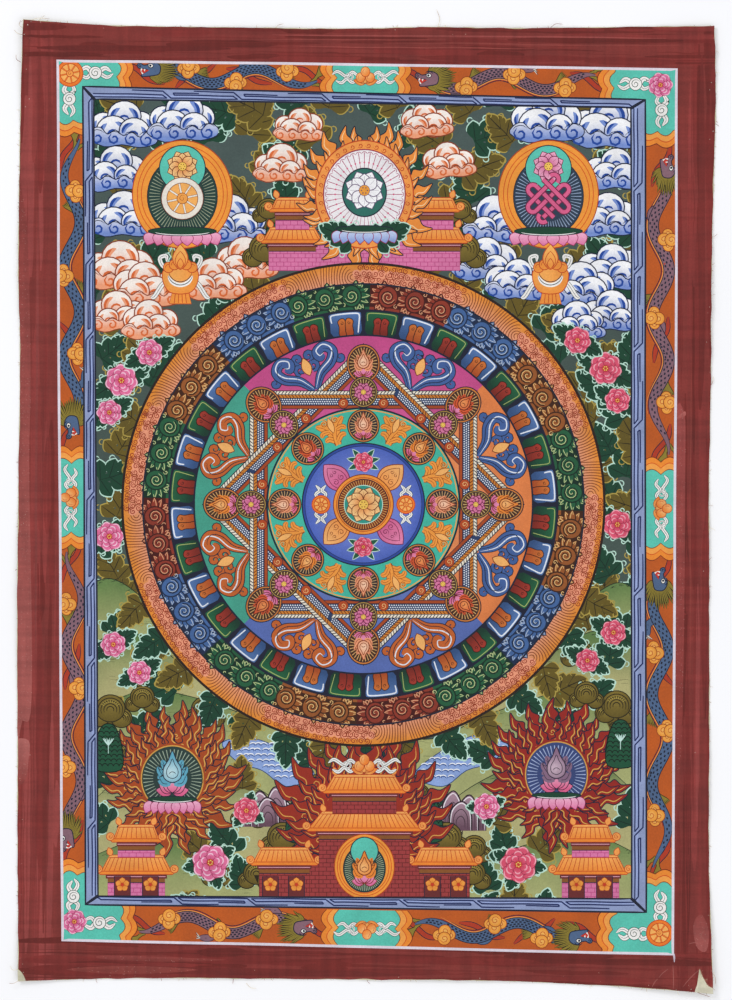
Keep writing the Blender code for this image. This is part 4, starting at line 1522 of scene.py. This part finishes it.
def tiled_roof(s, x, y, half, tall):
    """An orange roof with ribs, curled eaves and a row of studs over a brown beam."""
    s.place(x, y)
    body = ((-half * 0.78, tall), (half * 0.78, tall), (half, 1.2), (half + 3.6, 0.6), (half + 1, -1.4),
            (-half - 1, -1.4), (-half - 3.6, 0.6), (-half, 1.2))
    s.shape(body, fade("#F28A30", "#F9AE5E", (0, 0), (0, tall)), TILE_RUST, 0.4)
    for share in np.linspace(-0.94, 0.94, int(half * 0.85)):
        s.line(((share * half, 0.6), (share * half * 0.8, tall - 1.2)), 0.32, TILE_RUST, (1, 1))
    s.line(((-half * 0.8, tall - 1.3), (half * 0.8, tall - 1.3)), 0.4, TILE_RUST, (1, 1))
    s.line(((-half - 1, 0.3), (half + 1, 0.3)), 0.36, TILE_RUST, (1, 1))
    for side in (-1, 1):
        s.shape(ring(side * (half + 2), 1.4, 2, 14), "#F6A050", TILE_RUST, 0.34)
        s.line(curl(side * (half + 2), 1.4, 1.3, 90, side * 1.2, 9), 0.32, TILE_RUST)
        s.shape(petal(side * half * 0.74, tall - 0.4, 4.4, 3, -side * 18), "#F6A050", TILE_RUST, 0.34)
    s.blob(((-half * 0.9, -1.4), (half * 0.9, -1.4), (half * 0.9, -3.4), (-half * 0.9, -3.4)), "#6E2A2A")
    s.line(((-half * 0.86, -2.4), (half * 0.86, -2.4)), 0.36, "#E2A2B0", (1, 1))
    s.blob(((-half * 0.84, -3.4), (half * 0.84, -3.4), (half * 0.84, -5.4), (-half * 0.84, -5.4)),
           "#8C5426")
    s.line(((-half * 0.84, -5.4), (half * 0.84, -5.4)), 0.4, INK, (1, 1))


PINK_BRICK, RED_BRICK = ("#DC78A6", "#B8447C"), ("#A03C3C", "#5E1C1C")


def brick_wall(s, x, y, half, tall, brick=PINK_BRICK):
    """A wall with courses of bricks."""
    face, joint = brick
    s.place(x, y)
    s.shape(((-half, 0), (half, 0), (half, tall), (-half, tall)), face, joint, 0.34)
    for row, level in enumerate(np.arange(0, tall - 0.5, 2.1)):
        s.line(((-half, level), (half, level)), 0.3, joint, (1, 1))
        for at in np.arange(-half + 2 + 1.8 * (row % 2), half - 0.5, 3.6):
            s.line(((at, level), (at, min(level + 2.1, tall))), 0.3, joint, (1, 1))


def pavilion(s, x, foot, storeys, brick=PINK_BRICK):
    """Storeys of brick, each under a tiled roof. A storey has its roof's half width, the
    height of wall that shows and the height of its roof."""
    for half, wall, roof in storeys:
        brick_wall(s, x, foot, half * 0.84, wall + 5, brick)
        tiled_roof(s, x, foot + wall + 5.4, half, roof)
        foot += wall + roof + 4.4


def flame_ring(s, x, y, radius, body, edge, seed):
    """A blaze behind an emblem: rows of hooked tongues that lean upwards, over curls."""
    wild = np.random.default_rng(seed)
    for count, reach, size in ((22, 0.84, 1.15), (20, 0.7, 1), (17, 0.56, 0.8)):
        for step, turn, out in around(count, 270 + 180 / count):
            lean = math.degrees(math.atan2(out[0] * 0.8, out[1] + 0.55))
            s.place(x + out[0] * radius * reach, y + out[1] * radius * reach * 1.04,
                    -lean + wild.uniform(-14, 14), size * radius / 25 * wild.uniform(0.85, 1.15),
                    out[0] > 0)
            tongue = flow(((-3.6, -3), (-3.9, 1), (-1.9, 4), (-3, 7.2), (-0.2, 12.4), (0.2, 8.6),
                           (2.6, 6.2), (1.6, 3.6), (4, 1.4), (3.6, -3)), 4, True)
            s.shape(tongue, body, INK, 0.5)
            s.line(flow(((-2.6, -1), (-2.7, 1.2), (-0.8, 4.2), (-1.8, 7), (-0.6, 10.2)), 4), 0.5, edge,
                   (0.4, 0.3))
            s.line(curl(1, 1.6, 1.5, 200, 1.2, 9), 0.42, edge, (0.4, 0.9))
    s.place(x, y)
    s.blob(ring(0, 0, radius * 0.62, 40, 1.06), body)


def tall_aureole(s, x, y, radius, inner, ray):
    """An orange halo with a rayed ground and a sea green disc at its top."""
    s.place(x, y)
    s.shape(ring(0, 0, radius, 56, 1.08), "#F39A3A", "#B4401A", 0.5)
    for reach in (0.9, 0.82):
        s.loop(ring(0, 0, radius * reach, 50, 1.08), 0.4, "#D4541E")
    s.shape(ring(0, -1, radius * 0.7, 48, 1.12), inner, INK, 0.45)
    for step, turn, out in around(64):
        out = out * (radius, radius * 1.12)
        s.line((out * 0.45 + (0, -1), out * 0.66 + (0, -1)), 0.42, ray, (0.5, 1))
    s.shape(ring(0, radius * 0.52, radius * 0.46, 40), SEA_GREEN, INK, 0.5)


def lotus_seat(s, x, y, half, tone="#DE6C9E", light="#F4AECB"):
    """A dark green cushion on a row of hanging lotus petals."""
    s.place(x, y)
    for share in (-0.84, 0.84, -0.6, 0.6, -0.36, 0.36, -0.12, 0.12):
        s.shape(petal(share * half, 1, 6.8, half * 0.36, 180 + share * 26),
                fade(light, tone, (0, 0), (0, -6)),
                "#9A2458", 0.34)
    s.shape(ring(0, 1.6, half * 0.95, 36, 0.13), LEAF_GREEN, INK, 0.4)
    s.line(arc(0, 1.6, half * 0.8, 200, 340, 16, 0.13), 0.42, "#F4F0EE")


def treasure_vase(s, x, y, size):
    """A round vase with a tall flame of jewels, a crescent of beads and white scarves."""
    body, dark = "#F2943C", TILE_RUST
    s.place(x, y, 0, size)
    for side in (-1, 1):
        scarf(s, flow(((side * 5, -3), (side * 9, -5), (side * 13, -11), (side * 15, -12)), 5),
              2.2 * size)
        scarf(s, flow(((side * 5, 2), (side * 9, 4.4), (side * 10.4, 8.4), (side * 7.2, 9.4),
                       (side * 7, 6.6)), 5), 2 * size)
    s.shape(((-5.6, -15), (5.6, -15), (4.2, -9), (-4.2, -9)), body, dark, 0.4)
    for share in (-0.6, -0.2, 0.2, 0.6):
        s.line(((share * 5.2, -14.6), (share * 4.2, -9.4)), 0.34, dark, (1, 1))
    s.shape(flow(((0, -10), (-6, -8.6), (-9, -3), (-8.2, 2.4), (0, 3.6), (8.2, 2.4), (9, -3),
                  (6, -8.6)), 5, True),
            glow("#F9B25E", body, (-2, -1), 9), dark, 0.42)
    s.lines(arc(0, 1, 6.4, 195, 345, 16), (2.2 * size, "#F8F6F2", (0.2, 0.2)), (0.4, INK, (0.4, 0.4)))
    s.line(arc(0, 2.2, 6, 190, 350, 16), 0.4, INK, (0.4, 0.4))
    for side in (-1, 1):
        for px, py in ((6, 3.6), (3, 5)):
            s.shape(ring(side * px, py, 2.7, 16), body, dark, 0.4)
            s.line(arc(side * px, py, 1.6, 30, 200, 7), 0.34, dark)
    s.shape(petal(0, 2.4, 13, 7.8, 0, 0.85, 13), fade("#F2943C", "#F9B862", (0, 3), (0, 15)), dark, 0.42)
    for share in (0.68, 0.4):
        s.loop(petal(0, 3, 13 * share, 7.8 * share, 0, 0.85, 11), 0.34, dark)


def wish_knot(s, x, y, size, tone, dark):
    """A knot of crossing cords without an end."""
    s.place(x, y, 45, size)
    for row in (-3.6, 0, 3.6):
        for swap in (False, True):
            path = ((-6.4, row), (6.4, row))
            path = tuple(p[::-1] for p in path) if swap else path
            s.lines(path, (2.1 * size, dark, (1, 1)), (1.4 * size, tone, (1, 1)))
    for px, py, first in ((-6.4, 1.8, 90), (6.4, -1.8, -90), (-1.8, 6.4, 0), (1.8, -6.4, 180),
                          (6.4, 3.6, -90), (-6.4, -3.6, 90)):
        s.lines(arc(px, py, 1.8, first, first + 180, 9), (2.1 * size, dark, (1, 1)),
                (1.4 * size, tone, (1, 1)))


def offering_bush(s, x, y, size, bloom, turn):
    """A peony with three leaves."""
    for lean in (-78, 82, 178):
        curly_leaf(s, x, y, turn + lean, size * 0.62)
    peony(s, x, y, 7.6 * size, turn, *bloom)


PINK_BLOOM = ("#C83468", "#E4709C", "#F8C4D8")
RED_BLOOM = ("#B42840", "#DE5470", "#F6A6B4")

scenery.blob(((-150, -220), (150, -220), (150, 220), (-150, 220)),
             fade("#46554F", SKY_SLATE, (0, 60), (0, 190)))


def clear_of(x, y, gap, spots):
    """Whether a place is out of the mandala and out of the way of these (x, y, radius)."""
    if math.hypot(x - CENTRE[0], y - CENTRE[1]) < WAVE_OUT + gap:
        return False
    return all(math.hypot(x - px, y - py) > reach for px, py, reach in spots)


for row, y in enumerate(np.arange(-44, 206, 15.5)):
    for column, x in enumerate(np.arange(-132, 136, 16.5)):
        x, y_here = x + 7 * (row % 2) + hand.uniform(-3, 3), y + hand.uniform(-3, 3)
        if clear_of(x, y_here, -5, ((-92, 158, 30), (91, 158, 30), (-1, 158, 32), (-93, 108, 15),
                                    (92, 108, 15))):
            leaf = olive_leaf if (row + column) % 2 else curly_leaf
            leaf(scenery, x, y_here - 6, hand.uniform(-75, 75), hand.uniform(1, 1.25))

for side in (-1, 1):
    puffs = [(side * x - 1, y) for x, y in ((121, 187), (91, 190), (125, 165), (121, 142), (66, 139))]
    cloud_bank(scenery, puffs, BLUE_CLOUD, 10)
cloud_bank(scenery, ((-34, 188), (-43, 168), (30, 190), (41, 170)), CORAL_CLOUD, 7.4)
tall_aureole(scenery, -92, 156, 25, "#23403A", "#9FA88C")
tall_aureole(scenery, 91, 156, 25, "#2E3E52", "#9DB0CC")
lotus_front(scenery, -92, 170, 0, 0.8, "#E27A28", "#FAD090", "#6E2810")
wheel(scenery, -92, 154, 10.5, "#F2E9DC", "#F0A04A", "#7A2E14")
lotus_seat(scenery, -92, 136, 18)
lotus_front(scenery, 91, 170, 0, 0.8, "#C84A80", "#F4B0CC", "#6E1840")
wish_knot(scenery, 91, 154, 1.35, "#E0628E", "#6E1840")
lotus_seat(scenery, 91, 136, 18)
cloud_bank(scenery, ((-124, 116), (-60, 120), (-110, 107), (-76, 110)), CORAL_CLOUD, 9.4)
cloud_bank(scenery, ((122, 116), (59, 120), (108, 107), (75, 110)), BLUE_CLOUD, 9.4)
treasure_vase(scenery, -93, 116, 0.98)
treasure_vase(scenery, 92, 116, 0.98)
cloud_bank(scenery, ((-124, 94), (-108, 90)), CORAL_CLOUD, 8.4)
cloud_bank(scenery, ((122, 94), (106, 90)), BLUE_CLOUD, 8.4)

for side in (-1, 1):
    x = -1 + side * 50
    leaf_mound(scenery, x, 128, 7.6)
    round_tree(scenery, x - side * 8, 140, 6.4, 10.5)
    leaf_mound(scenery, x - side * 2, 148, 5.6)
brick_wall(scenery, -1, 118, 44, 16)
for side in (-1, 1):
    pavilion(scenery, -1 + side * 36, 118, ((14, 9.6, 6.6), (10, 4.6, 5.8)))
flame_ring(scenery, -1, 155, 26, "#F0903C", "#FBD09A", 7)
scenery.place(-1, 156)
scenery.shape(ring(0, 0, 24.5, 70, 1.1), "#F39A4A", TILE_RUST, 0.6)
for step, turn, out in around(34):
    scenery.place(*(np.array((-1, 156)) + out * (22.6, 24.9)), turn - 90)
    scenery.line(curl(0, -0.4, 1.4, 200, 1.2, 9), 0.45, TILE_RUST)
scenery.place(-1, 156)
scenery.shape(ring(0, 0, 20.4, 60, 1.1), "#F3EEF0", "#9A2A4A", 0.6)
for step, turn, out in around(40):
    scenery.line((out * (9.5, 10.4), out * (19, 20.9)), 0.42, "#B0506E", (0.4, 1))
    scenery.line(arc(*(out * (18.2, 20)), 1.4, turn - 80, turn + 80, 6), 0.36, "#B0506E")
    scenery.blob(ring(*(out * (14.6, 16)), 0.5, 6), "#D85A80")
scenery.shape(ring(0, 1, 11, 40, 1.1), "#2E6E62", INK, 0.6)
lotus_front(scenery, -1, 158, 0, 1, "#F2EDF2", "#FFFFFF", "#5A3A6A", "#F0A03C")
for side in (-1, 1):
    curly_leaf(scenery, -1 + side * 6, 133, -side * 66, 1)
lotus_seat(scenery, -1, 137, 15, "#6F8CD0", "#C6D2F0")

DEEP_GRASS = ("#B4AE78", "#5E7C46")
HILLS = (
    (((-140, -40), (-128, -36), (-114, -44), (-100, -60), (-84, -78)), -90),
    (((80, -76), (96, -62), (112, -46), (126, -38), (138, -44)), -90),
    (((-140, -72), (-124, -62), (-106, -68), (-84, -86), (-52, -104)), -130, *DEEP_GRASS),
    (((46, -104), (72, -90), (98, -70), (118, -62), (138, -74)), -130, *DEEP_GRASS),
    (((-140, -104), (-112, -92), (-84, -96), (-56, -106), (-30, -116), (0, -114), (34, -116), (56, -106),
         (84, -96), (112, -90), (140, -106)), -215),
    (((-140, -150), (-112, -128), (-80, -130), (-56, -140), (-38, -152)), -215, *DEEP_GRASS),
    (((36, -152), (56, -138), (80, -128), (112, -126), (140, -148)), -215, *DEEP_GRASS),
    (((-140, -176), (-112, -166), (-84, -168), (-50, -180)), -215),
    (((48, -180), (84, -168), (112, -164), (140, -176)), -215),
)
for crest in HILLS:
    hill(scenery, *crest)
water(scenery, ((-72, -118), (-56, -116), (-38, -124), (-26, -134), (-40, -140), (-52, -132),
                (-64, -128)), 9, 3)
water(scenery, ((24, -134), (38, -122), (56, -114), (72, -118), (62, -128), (50, -132), (38, -140)), 9, 4)
MOTIFS = ((-97, -134, 30), (95, -132, 30), (-1, -168, 44), (-116, -180, 24), (113, -180, 24),
          (-50, -126, 14), (48, -126, 14))
for row, y in enumerate(np.arange(-200, -40, 16)):
    for column, x in enumerate(np.arange(-132, 136, 17)):
        x, y_here = x + 6 * (row % 2) + hand.uniform(-3.5, 3.5), y + hand.uniform(-3, 3)
        if clear_of(x, y_here, 1, MOTIFS):
            kind = (row * 2 + column) % 5
            if kind == 0:
                leaf_mound(scenery, x, y_here, hand.uniform(6, 7.6))
            elif kind in (1, 3):
                curly_leaf(scenery, x, y_here - 6, hand.uniform(-70, 70), hand.uniform(0.85, 1.1))
            elif kind == 2:
                olive_leaf(scenery, x, y_here - 6, hand.uniform(-70, 70), hand.uniform(0.85, 1.1))
            else:
                grass_strokes(scenery, ((x, y_here),))
for lean in np.arange(204, 340, 9.5):
    x, y = out_from_centre(lean, 121)
    leaf = (curly_leaf, olive_leaf)[int(lean / 9.5) % 2]
    leaf(scenery, x, y, lean - 90 + hand.uniform(-35, 35), 0.95)
rocks(scenery, -49, -158, 1.05)
rocks(scenery, 47, -160, 1.05, True)
flame_ring(scenery, -97, -136, 27, "#A8481E", "#E0B058", 21)
flame_ring(scenery, 95, -134, 27, "#98261E", "#D8A850", 22)
for x, y in ((-97, -136), (95, -134)):
    scenery.place(x, y)
    scenery.shape(ring(0, 0, 15.5, 44, 1.06), "#2A3E3A" if x < 0 else "#39487A", "#D8A24A", 0.6)
    for step, turn, out in around(46):
        scenery.line((out * 9.6, out * 14.6), 0.5, "#9FB09A" if x < 0 else "#A9B8DC", (0.5, 1))
    offering_lotus(scenery, x, y + 1, 0, 1.5, "#5FA8C0" if x < 0 else "#8A6A84",
                   "#CDE8EC" if x < 0 else "#D8BCCB",
                   "#2A2236", "#E0628E")
    lotus_seat(scenery, x, y - 12, 13)
for mound in ((-128, -102, 7.4), (-112, -96, 6), (125, -100, 7.4), (110, -94, 6)):
    leaf_mound(scenery, *mound)
round_tree(scenery, -129, -120, 6.4, 11.5)
round_tree(scenery, 127, -118, 6.4, 11.5)
for x in (-115, 112):
    pavilion(scenery, x, -197, ((17, 9, 8.4), (11, 3.4, 7.4)))
for bush in ((-78, -178, 1.25, PINK_BLOOM, 20), (76, -179, 1.25, RED_BLOOM, -20),
             (-60, -152, 0.9, RED_BLOOM, 60), (60, -150, 0.9, PINK_BLOOM, 10)):
    offering_bush(scenery, *bush)

for side in (-1, 1):
    leaf_mound(scenery, -1 + side * 41, -166, 7.6)
    round_tree(scenery, -1 + side * 32, -156, 6.4, 11)
    leaf_mound(scenery, -1 + side * 54, -184, 6.4)
    leaf_mound(scenery, -1 + side * 24, -140, 5.6)
flame_ring(scenery, -1, -158, 34, "#9C2E1E", "#DDA24E", 23)
brick_wall(scenery, -1, -197, 50, 18, RED_BRICK)
for x, storeys in ((-41, ((15, 13.6, 7.6),)), (39, ((15, 13.6, 7.6),)),
                   (-1, ((27, 30.6, 8.6), (19, 6, 8)))):
    pavilion(scenery, x, -197, storeys, RED_BRICK)
jewel_lotus(scenery, -1, -130, 0, 1)
tall_aureole(scenery, -1, -180, 15, "#23403A", "#9FA88C")
offering_lotus(scenery, -1, -182, 0, 1.15, *LOTUS_TONES[0])
for x in (-122, -108, -48, -35, 33, 46, 105, 119):
    scenery.place(x, -190)
    scenery.shape(((-4, 5), (4, 5), (4, -7), (-4, -7)), "#6E2A2A", INK, 0.45)
    blossom(scenery, x, -189, 3.4)
for side, tone in ((-1, PINK_BLOOM), (1, RED_BLOOM)):
    for x, y, r in ((121, 66, 8.4), (127, 50, 6.6), (107, 80, 7), (127, -12, 7.6), (125, -66, 6.6),
                    (112, -80, 6.2)):
        x, y = -1.5 + side * x, y + 3 * side
        curly_leaf(scenery, x, y, side * 60, r / 9)
        curly_leaf(scenery, x, y, -side * 120, r / 9)
        peony(scenery, x, y, r, hand.uniform(0, 60), *tone)
grass_strokes(scenery, ((-128, -76), (-108, -84), (-72, -164), (-62, -192), (70, -166), (62, -192),
                        (-122, -52), (119, -54), (-70, -112), (68, -110), (-30, -126), (28, -126),
                        (-20, -120), (16, -120)))
scenery.place()
scenery.loop(MANDALA_OUTLINE, 1.2, "#2A1A16")
scenery_pieces = scenery.pieces(mineral_paint)

# Frayed threads: ends of the canvas's own cotton that stick out of the cut edges, with a few
# long ones at the corners. They are part of the weave, so they hold by themselves.
cotton = Finish("thread_cotton", 0.9, 0.2)
cotton.link(cotton.ramp(cotton.cloudy(9.0), (0.42, "#8E5A4C"), (0.6, "#E8DDC2")),
            cotton.surface["Base Color"])
fray = np.random.default_rng(77)
thread_points, thread_faces = [], []


def cotton_thread(path, radius):
    """A three-sided tube along this path, drawn out to a tip."""
    path = np.asarray(path, float)
    run = np.gradient(path, axis=0)
    run /= np.linalg.norm(run, axis=1)[:, None]
    level = np.cross(run, (0.31, 0.2, 0.93))
    level /= np.linalg.norm(level, axis=1)[:, None]
    upright = np.cross(run, level)
    first = len(thread_points)
    for step in range(len(path)):
        thick = radius * (1.0 if step < len(path) - 1 else 0.3)
        for corner in range(3):
            turn = corner * math.tau / 3
            out = level[step] * math.cos(turn) + upright[step] * math.sin(turn)
            thread_points.append(path[step] + thick * out)
    for step in range(len(path) - 1):
        for corner in range(3):
            a, b = first + step * 3 + corner, first + step * 3 + (corner + 1) % 3
            thread_faces.extend(((a, b, b + 3), (a, b + 3, a + 3)))
    last = first + 3 * len(path) - 3
    thread_faces.extend(((first, first + 2, first + 1), (last, last + 1, last + 2)))


rim = cloth_outline(*RIM_STEPS)
rim_out = outward_of(rim)
rim_height = cloth_lift(rim) + CANVAS_THICKNESS / 2
SHORT_FRAYS = 420
for _ in range(SHORT_FRAYS):
    at = fray.integers(len(rim))
    out, length = rim_out[at], fray.exponential(0.42) + 0.35
    along = np.array((-out[1], out[0])) * fray.uniform(-0.8, 0.8)
    rows = [(*(rim[at] + out * (share * length - 0.35) + along * length * share**2),
             rim_height[at] + fray.uniform(-0.1, 0.25) * share) for share in (0.0, 0.35, 0.7, 1.0)]
    cotton_thread(rows, fray.uniform(0.07, 0.13))
# Long loose ends, each from inside the cut edge to its tip.
LOOSE_ENDS = (((-165.6, 241.6), (-163.0, 243.4), (-160.6, 245.4)),
              ((-168.4, 242.0), (-164.6, 243.9), (-158.2, 243.6)),
              ((-171.4, 239.0), (-173.4, 240.6), (-172.6, 243.0)),
              ((-171.6, 235.6), (-174.4, 236.4), (-176.0, 238.2)),
              ((-172.6, 222.0), (-174.8, 223.4), (-175.0, 226.0)),
              ((-173.0, -231.0), (-176.6, -231.6), (-178.0, -229.4)),
              ((-172.0, -235.4), (-175.6, -238.0), (-178.6, -238.2)),
              ((164.2, -242.2), (168.4, -243.8), (171.8, -244.8)),
              ((172.2, -232.4), (174.2, -235.0), (174.4, -239.0)),
              ((35.4, 239.0), (36.6, 243.6), (35.0, 248.6)),
              ((-46.0, 238.6), (-44.0, 240.6), (-41.2, 241.2)),
              ((92.0, 239.4), (94.6, 241.2), (98.2, 241.0)),
              ((-60.0, -238.2), (-58.0, -240.4), (-54.8, -240.8)),
              ((171.6, 60.0), (173.2, 62.4), (173.4, 65.2)))
for number, ends in enumerate(LOOSE_ENDS):
    flat_path = flow(ends, 4)
    rise = np.linspace(0.0, 1.0, len(flat_path)) * fray.uniform(0.1, 0.7)
    height = cloth_lift(flat_path[:1]) + CANVAS_THICKNESS / 2 + rise
    cotton_thread(np.column_stack((flat_path, height)), 0.13)
thread_mesh = bpy.data.meshes.new("frayed_threads")
thread_mesh.from_pydata((np.array(thread_points) * MM).tolist(), [], thread_faces)
thread_mesh.materials.append(cotton.material)
frayed_threads = set_out("frayed_threads", thread_mesh)
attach(frayed_threads, "root")

# Floor, light and camera: a pale surface under the cloth, soft light from all round, and a
# camera straight over it, as a copy stand sees it.
VIEW_HEIGHT = 0.500
VIEW_MIDDLE = (-0.0002, 0.00325)
CAMERA_DISTANCE = 2.4
floor_mesh = bpy.data.meshes.new("floor")
floor_mesh.from_pydata([(-3, -3, 0), (3, -3, 0), (3, 3, 0), (-3, 3, 0)], [], [(0, 1, 2, 3)])
floor = set_out("floor", floor_mesh)
pale = Finish("pale_floor", 0.9, 0.2)
pale.link(pale.ramp(pale.cloudy(400.0), (0.3, "#F4F3F5"), (0.7, "#F7F6F8")), pale.surface["Base Color"])
floor_mesh.materials.append(pale.material)

world = bpy.data.worlds.new("soft_room")
world.use_nodes = True
world.node_tree.nodes["Background"].inputs["Color"].default_value = (0.96, 0.98, 1.0, 1.0)
world.node_tree.nodes["Background"].inputs["Strength"].default_value = 0.84
bpy.context.scene.world = world


def soft_lamp(name, at, size, watts):
    """A broad square lamp that shines at the cloth's middle."""
    lamp = bpy.data.lights.new(name, "AREA")
    lamp.size = size
    lamp.energy = watts
    stand = set_out(name, lamp)
    stand.location = at
    aim = -np.array(at) / np.linalg.norm(at)
    stand.rotation_euler = (math.acos(-aim[2]), 0.0, math.atan2(aim[1], aim[0]) - math.pi / 2)


soft_lamp("lamp_upper_left", (-1.5, 1.6, 1.7), 0.9, 21.0)
soft_lamp("lamp_lower_right", (1.8, -1.2, 1.9), 1.6, 11.0)

camera = bpy.data.cameras.new("camera")
camera.sensor_width = 36.0
camera.lens = camera.sensor_width * CAMERA_DISTANCE / VIEW_HEIGHT
camera.clip_end = 20.0
eye = set_out("camera", camera)
eye.location = (*VIEW_MIDDLE, CAMERA_DISTANCE)
bpy.context.scene.camera = eye
bpy.context.scene.view_settings.view_transform = "Standard"
